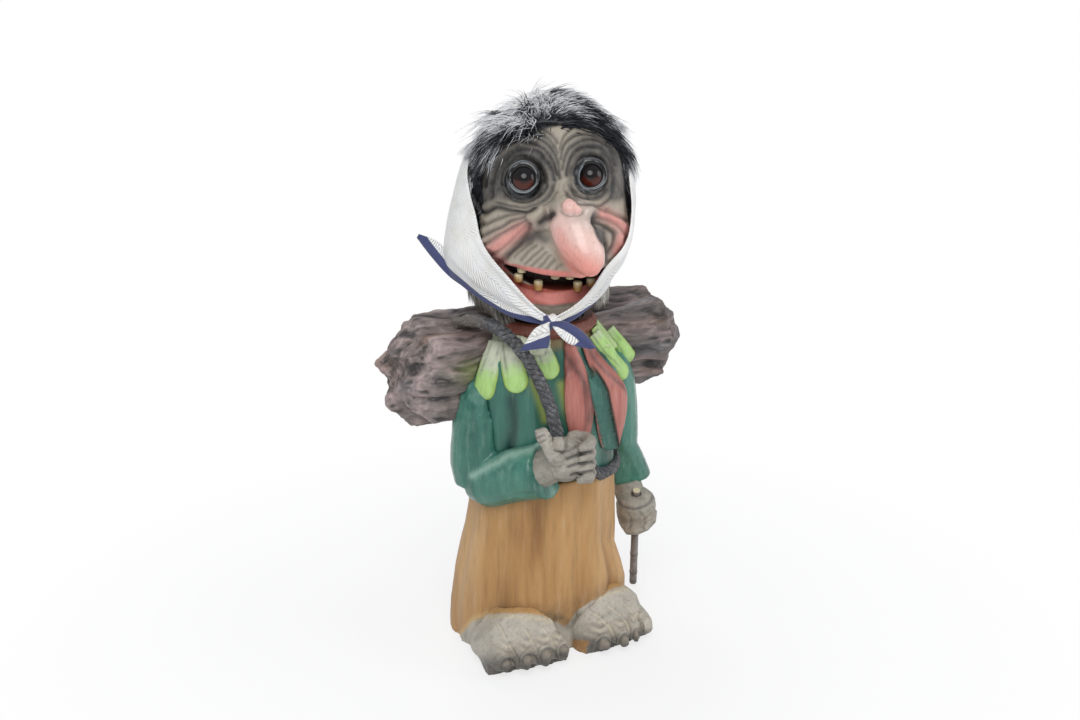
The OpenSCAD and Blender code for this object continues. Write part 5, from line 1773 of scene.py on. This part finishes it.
class TROLL_OT_wood(bpy.types.Operator):
    """Bundle of gnarled branches"""
    bl_idname = "troll.wood"
    bl_label = "Wood Bundle"

    def execute(self, context):
        mat = painted("Wood Paint", 0.38, 0.72, (0.12, 1, 1), 0.4, 0.7, 260.0)
        ob = blank("wood_bundle", "painted_wood", 1.75, 4)
        P, N = points(ob)
        c, s = math.cos(-BUNDLE_SLANT), math.sin(-BUNDLE_SLANT)
        D = P - BUNDLE_C
        Q = np.stack([D[:, 0] * c - D[:, 1] * s, D[:, 0] * s + D[:, 1] * c, D[:, 2]], axis=1)
        slow = Q * [0.35, 0, 0]
        warp = np.stack([0 * Q[:, 0], 7 * noise(slow + [0, 3, 9], 12, 131), 7 * noise(slow, 12, 132)], axis=1)
        W = (Q + warp) * [0.13, 1, 1]
        ridge = 1 - np.abs(rough(W, 17, 133)) * 2.6
        small = 1 - np.abs(rough(W, 6.5, 134)) * 2.6
        end = past(np.abs(Q[:, 0]), 148, 14)
        knob = rough(Q, 15, 135)
        small_knob = rough(Q, 6, 136)
        ends = past(np.abs(Q[:, 0]), 118, 30)
        lift = (2.6 * np.clip(ridge, -1, 1) + 1.2 * np.clip(small, -1, 1)) * (1 - 0.6 * end) - 1.6
        lift += ends * (2.6 * knob) + end * 1.5 * small_knob
        place(ob, P + N * lift[:, None])
        base = rgb("wood")
        r, q = np.clip(ridge, -1, 1), np.clip(small, -1, 1)
        tone = rough(Q * [0.3, 1, 1], 26, 137)
        # the bark's ridges are painted lighter and its grooves darker: painted highlight and shade
        col = mix(base, base * [1.05, 0.95, 1.0] * 1.9, ease(0.75 * r + 0.45 * q - 0.35))
        col = mix(col, TONES["red_bark"], 0.55 * ease(tone * 1.6 - 0.15))
        col = mix(col, TONES["blue_bark"], 0.6 * ease(-tone * 1.7 - 0.2))
        cut = np.maximum(ease(-r * 1.4 + 0.22), 0.85 * ease(-q * 1.6 + 0.02))
        col = mix(col, TONES["bark_groove_shade"], np.clip(cut, 0, 1) * 0.92)
        # painted highlight on the upward faces of the small ridges
        col = mix(col, TONES["bark_top_highlight"], 0.5 * ease(q * 1.6 - 0.9) * ease(N[:, 2] + 0.5))
        # painted shade in the hollows of the branches' knobbly ends
        col = mix(col, TONES["branch_end_shade"], end * ease(-knob * 2.2 + 0.1) * 0.8)
        XY = seen(P)
        green = facing(N, 0.2) * bell(spread(XY, GREEN_STAIN, 1.4), 12)
        col = mix(col, TONES["green_stain"], 0.6 * green)
        near_rope = area(XY, "bundle_by_rope")
        col = col * (0.88 + 0.55 * near_rope)[:, None]
        paint(ob, col, 0.3)
        fit(ob, mat, ["wood_bundle"])
        return {"FINISHED"}


# The way up the stick, its widest radius beside the fist's hole, and its knots: share of the length, and size
STICK_AXIS = np.array([-0.173741, -0.313437, 0.933580])
STICK_R = 4.72
KNOTS = [(0.13, 1.0), (0.33, 0.7), (0.55, 0.9), (0.80, 0.6)]


class TROLL_OT_stick(bpy.types.Operator):
    """Twig that serves as a walking stick"""
    bl_idname = "troll.stick"
    bl_label = "Walking Stick"

    def execute(self, context):
        axis = STICK_AXIS
        rod, _ = points(frame["nodes"]["walking_stick"])
        high = rod @ axis
        full = high.max() - high.min()
        foot = rod[high < high.min() + 6].mean(axis=0)
        head = rod[high > high.max() - 3].mean(axis=0)
        long = (head - foot) @ axis
        side = unit(np.cross(axis, [0, 1, 0]))
        over = np.cross(axis, side)
        rings, around = 120, 28
        t = np.linspace(0, 1, rings)
        q = np.linspace(0, 2 * math.pi, around, endpoint=False)
        T, turn = np.meshgrid(t, q, indexing="ij")
        flat = np.stack([T.ravel() * long, np.cos(turn.ravel()) * 5, np.sin(turn.ravel()) * 5], axis=1)
        r = 4.05 + 0.22 * rough(flat * [0.2, 1, 1], 5, 141).reshape(T.shape)
        for at, amp in KNOTS:
            r = r + 0.5 * amp * np.exp(-((T - at) * long / 2.4) ** 2)
        r = np.minimum(r, STICK_R)
        r = r * np.where(T < 0.012, 0.82, 1) * np.where(T > 0.995, 0.94, 1)
        start = foot - axis * ((foot @ axis) - high.min())
        G = start[None, None] + axis * (T * full)[..., None] + side * (r * np.cos(turn))[..., None] + \
            over * (r * np.sin(turn))[..., None]
        G = G.reshape(-1, 3)
        G[:, 2] = np.maximum(G[:, 2], 0.02)
        V = np.concatenate([G, [G[:around].mean(axis=0), G[-around:].mean(axis=0)]])
        ob = faces_mesh("twig_stick", V, tube_faces(rings, around))
        outward(ob)
        bpy.ops.object.shade_smooth_by_angle(angle=math.radians(40))
        P, _ = points(ob)
        s = (P @ axis - high.min()) / full
        n = rough(P * [1, 1, 0.25], 4, 142)
        col = mix(TONES["twig"], TONES["twig_light"], 0.5 + 0.6 * n)
        for at, amp in KNOTS:
            col = mix(col, TONES["twig_knot"], 0.7 * np.exp(-((s - at) * 142 / 1.2) ** 2))
        col = mix(col, TONES["sawn_end"], (s > 0.994).astype(float))
        col = mix(col, TONES["twig_foot"], (s < 0.06).astype(float) * 0.6)
        paint(ob, col, 0.2)
        bark = painted("Twig Bark", 0.5, 0.8, (1, 1, 0.2), 0.35, 0.6, 700.0)
        fit(ob, bark, ["walking_stick"], "stick")
        return {"FINISHED"}


# Collar and neckerchief

# Lobes of the collar in front, as the viewer sees them: top, bottom and half width
LOBES = (((497, 341), (485, 388), 12.5), ((507, 342), (516, 381), 12.0), ((539, 342), (549, 369), 10.5),
         ((594, 333), (622, 371), 9.5), ((609, 329), (629, 357), 8.5))
LOBE_HIGH, LOBE_STATIONS, ON_LEAF = 5.5, 30, 10
RIGHT_LEAVES = 585
# Column of the gap between the kerchief's tails, by rows of the view, and the creases with their half widths
TAIL_GAP = ([352, 377, 403, 450], [585, 589, 594, 604])
KERCHIEF_CREASES = (([(563, 352), (580, 375), (592, 400), (590, 420)], 3.5),
                    ([(590, 350), (600, 372), (618, 395)], 3), ([(598, 345), (612, 362), (622, 380)], 2.5))


def collar_lobes():
    """The leaves' plump ends in front"""
    under = ("jacket", "right_sleeve", "left_sleeve", "wood_bundle")
    lines = []
    for top, bottom, half in LOBES:
        t = np.linspace(0, 1, LOBE_STATIONS)
        XY = np.array(top, float) * (1 - t)[:, None] + np.array(bottom, float) * t[:, None]
        # the top of a lobe lies on its leaf, the rest on what is below
        hits = [on_surface(x, y, under + ("leaf_collar",) if i < ON_LEAF else under)
                for i, (x, y) in enumerate(XY)]
        C, face = (np.array([hit[n] for hit in hits if hit is not None]) for n in (0, 1))
        for _ in range(12):
            C[1:-1] = (C[:-2] + 2 * C[1:-1] + C[2:]) / 4
            face = unit(face + np.roll(face, 1, axis=0) * (np.arange(len(face)) > 0)[:, None])
        face = unit(face + BACK * 0.6)
        # a round end, carried on past the last station
        step = unit(C[-1] - C[-2])
        tail = np.sin(np.linspace(0, math.pi / 2, 12))[1:]
        C = np.concatenate([C, C[-1] + step * (half * tail)[:, None]])
        face = np.concatenate([face, np.repeat(face[-1:], len(tail), axis=0)])
        body = len(C) - len(tail)
        wide = np.concatenate([half * (0.72 + 0.28 * ease(t[:body] / 0.8)),
                               half * np.sqrt(np.maximum(1 - tail ** 2, 0.0009))])
        swell = np.concatenate([0.5 + 0.5 * ease(np.linspace(0, 1, body) / 0.6), np.ones(len(tail))])
        high = LOBE_HIGH * (wide / half) ** 0.8 * swell
        lines.append((C, face, wide, high))
    ob, along, across = plump("collar_lobes", lines)
    P, _ = points(ob)
    leaf = rgb("leaf")
    n = rough(P, 7, 155)
    # the leaves to the right of the kerchief's tail are green up to their tops
    green_top = 0.45 * (seen(P)[:, 0] > RIGHT_LEAVES)
    greener = ease((along - 0.30 + green_top + 0.12 * n) / 0.35)
    col = mix(TONES["lobe_top"], leaf * [0.95, 1.05, 0.85], greener)
    col = mix(col, TONES["lobe_edge"], 0.8 * past(np.abs(across), 0.72, 0.25) * past(along, 0.2, 0.3))
    veins = np.max([bell(across - c + 0.06 * n, 0.035) for c in (-0.5, -0.15, 0.2, 0.55)], axis=0)
    broken = ease(0.9 + 0.8 * rough(P, 4, 156))
    col = mix(col, TONES["lobe_vein"], 0.6 * veins * before(along, 0.66, 0.2) * broken)
    paint(ob, col, 0.45)
    return ob


class TROLL_OT_collar(bpy.types.Operator):
    """Collar of pale leaves, and the neckerchief over it"""
    bl_idname = "troll.collar"
    bl_label = "Collar and Neckerchief"

    def execute(self, context):
        ob, P, N, XY = carving("leaf_collar", "painted_leaves", 1.3, 5)
        ang = np.arctan2(P[:, 1] - 5, P[:, 0])
        low = before(P[:, 2], 322, 36)
        low = np.maximum(low, 0.85 * area(XY, "right_leaves") * (P[:, 1] < 40))
        flat = np.stack([ang * 70, P[:, 2] * 0.06, 0 * ang], axis=1)
        vein = rough(flat, 5.5, 151)
        lines = ease((-vein - 0.22) / 0.2)
        # in front the leaves end in plump lobes, so their thin ends are tucked below the jacket
        tuck = np.maximum(area(XY, "left_leaf_ends"), area(XY, "right_leaf_ends"))
        tuck = before(P[:, 1], 15, 15) * tuck
        inward = -unit((P - [0, 8, 0]) * [1, 1, 0])
        place(ob, P + N * (0.5 * rough(P, 9, 152) - 0.5 * lines)[:, None] + inward * (11 * tuck)[:, None])
        leaf = rgb("leaf")
        col = mix(TONES["leaf_top"], leaf, low)
        col = mix(col, leaf * [0.9, 0.95, 0.35], 0.6 * ease((rough(P, 14, 153) + 0.1) * 1.5) * low)
        col = mix(col, TONES["leaf_edge"], 0.75 * ease(0.55 - np.abs(N @ unit(BACK + [0, 0, 0.1]))))
        col = mix(col, TONES["leaf_vein"], 0.55 * lines * (1 - 0.5 * low))
        paint(ob, col, 0.4)
        leaf_paint = painted("Leaf Paint", 0.3, 0.6, (1, 1, 0.15), 0.2, 0.3, 240.0)
        fit(ob, leaf_paint, ["leaf_collar"])
        fit(collar_lobes(), leaf_paint, ())
        ob, P, N, XY = carving("neckerchief", "painted_neckerchief", 1.3, 5)
        X, Y = XY.T
        front = facing(N, 0.2)
        broad = streaks(P, 0.12, 9, 161)
        gap = X - np.interp(Y, *TAIL_GAP)
        out = 13 * area(XY, "tails") * past(gap, -1.0, 4.0)
        moved = (RIGHT - BACK * 0.3) * out[:, None]
        parted = area(XY, "tails_parted")
        between = past(gap, -1.2, 0.5) * before(gap, 3.6, 0.6) * parted
        moved = moved - BACK * (4.5 * between)[:, None]
        place(ob, P + N * (0.6 * broad)[:, None] + moved)
        brick = rgb("brick")
        col = mix(brick, brick * [1.25, 1.5, 1.55], ease(0.4 + broad))
        col = mix(col, brick * [0.30, 0.25, 0.28], 0.7 * ease(-broad * 1.6 - 0.3))
        # painted shade in the creases of the tails
        for line, w in KERCHIEF_CREASES:
            col = mix(col, TONES["kerchief_crease_shade"], 0.6 * front * bell(to_line(XY, curve(line, 4)), w))
        col = mix(col, rgb("teal") * [1.7, 1.35, 1.4], between)
        # painted shade along the edges of the gap between the tails
        edges = (bell(gap - 3.5, 1.4) + 0.5 * bell(gap + 1.1, 0.8)) * parted
        col = mix(col, TONES["tail_edge_shade"], 0.85 * edges)
        # painted shade at the top, under the head
        col = mix(col, TONES["kerchief_neck_shade"], past(P[:, 2], 322, 8))
        paint(ob, col, 0.45)
        brick_paint = painted("Brick Paint", 0.3, 0.55, (1, 1, 0.12), 0.25, 0.3, 260.0)
        fit(ob, brick_paint, ["neckerchief"])
        return {"FINISHED"}


# Stage


# Lamps: name, place in metres, power in watts and width. They all face the lit place.
LAMPS = (("Key", (-1.1, -1.9, 2.3), 46, 2.0), ("Fill", (2.2, -1.5, 1.3), 18, 1.8),
         ("Rim", (0.4, 2.0, 2.2), 18, 1.6))
LIT_PLACE = (0, 0, 0.3)


class TROLL_OT_stage(bpy.types.Operator):
    """Pale floor, backdrop, lamps and camera"""
    bl_idname = "troll.stage"
    bl_label = "Stage"

    def execute(self, context):
        scene = bpy.context.scene
        clear_selection()
        bpy.ops.mesh.primitive_plane_add(size=80, location=(0, 0, -0.0004))
        floor = bpy.context.object
        floor.name = "pale_floor"
        f = Finish("Pale Floor")
        path = f.node("ShaderNodeLightPath")
        near = f.math("MAXIMUM", path.outputs["Is Camera Ray"], path.outputs["Is Glossy Ray"])
        from_middle = f.node("ShaderNodeVectorMath")
        from_middle.operation = "LENGTH"
        f.link(f.coord.outputs["Object"], from_middle.inputs[0])
        away = f.span(from_middle.outputs["Value"], 0.15, 0.6, 0.72, 1.0)
        f.values(Base_Color=(0.92, 0.925, 0.93, 1), Roughness=0.6, Specular_IOR_Level=0.1)
        glow = f.node("ShaderNodeEmission", Strength=1.0, Color=(1.0, 1.0, 1.0, 1))
        both = f.node("ShaderNodeMixShader")
        f.link(f.math("MULTIPLY", near, away), both.inputs[0])
        f.link(f.bsdf.outputs[0], both.inputs[1])
        f.link(glow.outputs[0], both.inputs[2])
        f.link(both.outputs[0], f.tree.nodes["Material Output"].inputs["Surface"])
        floor.data.materials.append(f.mat)
        world = bpy.data.worlds.new("Studio")
        scene.world = world
        world.use_nodes = True
        tree = world.node_tree
        tree.nodes.clear()
        out = add_node(tree, "ShaderNodeOutputWorld")
        lit = add_node(tree, "ShaderNodeBackground", Color=(0.93, 0.96, 1.0, 1), Strength=0.40)
        shown = add_node(tree, "ShaderNodeBackground", Color=(0.985, 0.99, 1.0, 1), Strength=1.0)
        path = add_node(tree, "ShaderNodeLightPath")
        switch = add_node(tree, "ShaderNodeMixShader")
        tree.links.new(path.outputs["Is Camera Ray"], switch.inputs["Fac"])
        tree.links.new(lit.outputs[0], switch.inputs[1])
        tree.links.new(shown.outputs[0], switch.inputs[2])
        tree.links.new(switch.outputs[0], out.inputs["Surface"])
        for name, at, power, wide in LAMPS:
            clear_selection()
            bpy.ops.object.light_add(type="AREA", location=at)
            lamp = bpy.context.object
            lamp.name = name
            lamp.data.energy = power
            lamp.data.shape = "DISK"
            lamp.data.size = wide
            lamp.rotation_euler = (Vector(LIT_PLACE) - Vector(at)).to_track_quat("-Z", "Y").to_euler()
        clear_selection()
        bpy.ops.object.camera_add(location=tuple(EYE * MM))
        cam = bpy.context.object
        cam.data.lens = LENS
        cam.data.sensor_width = FILM_WIDTH
        cam.rotation_euler = Vector(tuple(-BACK)).to_track_quat("-Z", "Y").to_euler()
        scene.camera = cam
        scene.view_settings.view_transform = "Standard"
        return {"FINISHED"}


class TROLL_PT_panel(bpy.types.Panel):
    """The sizes, the colours and a button for each group of pieces"""
    bl_idname = "TROLL_PT_panel"
    bl_label = "Troll Figure"
    bl_space_type = "VIEW_3D"
    bl_region_type = "UI"
    bl_category = "Troll"

    def draw(self, context):
        for group in (context.scene.troll_sizes, context.scene.troll_colours):
            for name in group.__annotations__:
                self.layout.prop(group, name)
        for op in OPERATORS:
            self.layout.operator(op.bl_idname)


OPERATORS = (TROLL_OT_stage, TROLL_OT_head, TROLL_OT_eyes, TROLL_OT_fur, TROLL_OT_headscarf, TROLL_OT_skirt,
             TROLL_OT_jacket, TROLL_OT_hands, TROLL_OT_feet, TROLL_OT_ropes, TROLL_OT_wood, TROLL_OT_stick,
             TROLL_OT_collar)
CLASSES = (TrollColours, TrollSizes) + OPERATORS + (TROLL_PT_panel,)


def register():
    for c in CLASSES:
        bpy.utils.register_class(c)
    bpy.types.Scene.troll_colours = PointerProperty(type=TrollColours)
    bpy.types.Scene.troll_sizes = PointerProperty(type=TrollSizes)


def unregister():
    del bpy.types.Scene.troll_colours
    del bpy.types.Scene.troll_sizes
    for c in reversed(CLASSES):
        bpy.utils.unregister_class(c)


def main():
    register()
    for op in OPERATORS:
        kind, name = op.bl_idname.split(".")
        getattr(getattr(bpy.ops, kind), name)()


if __name__ == "__main__":
    main()
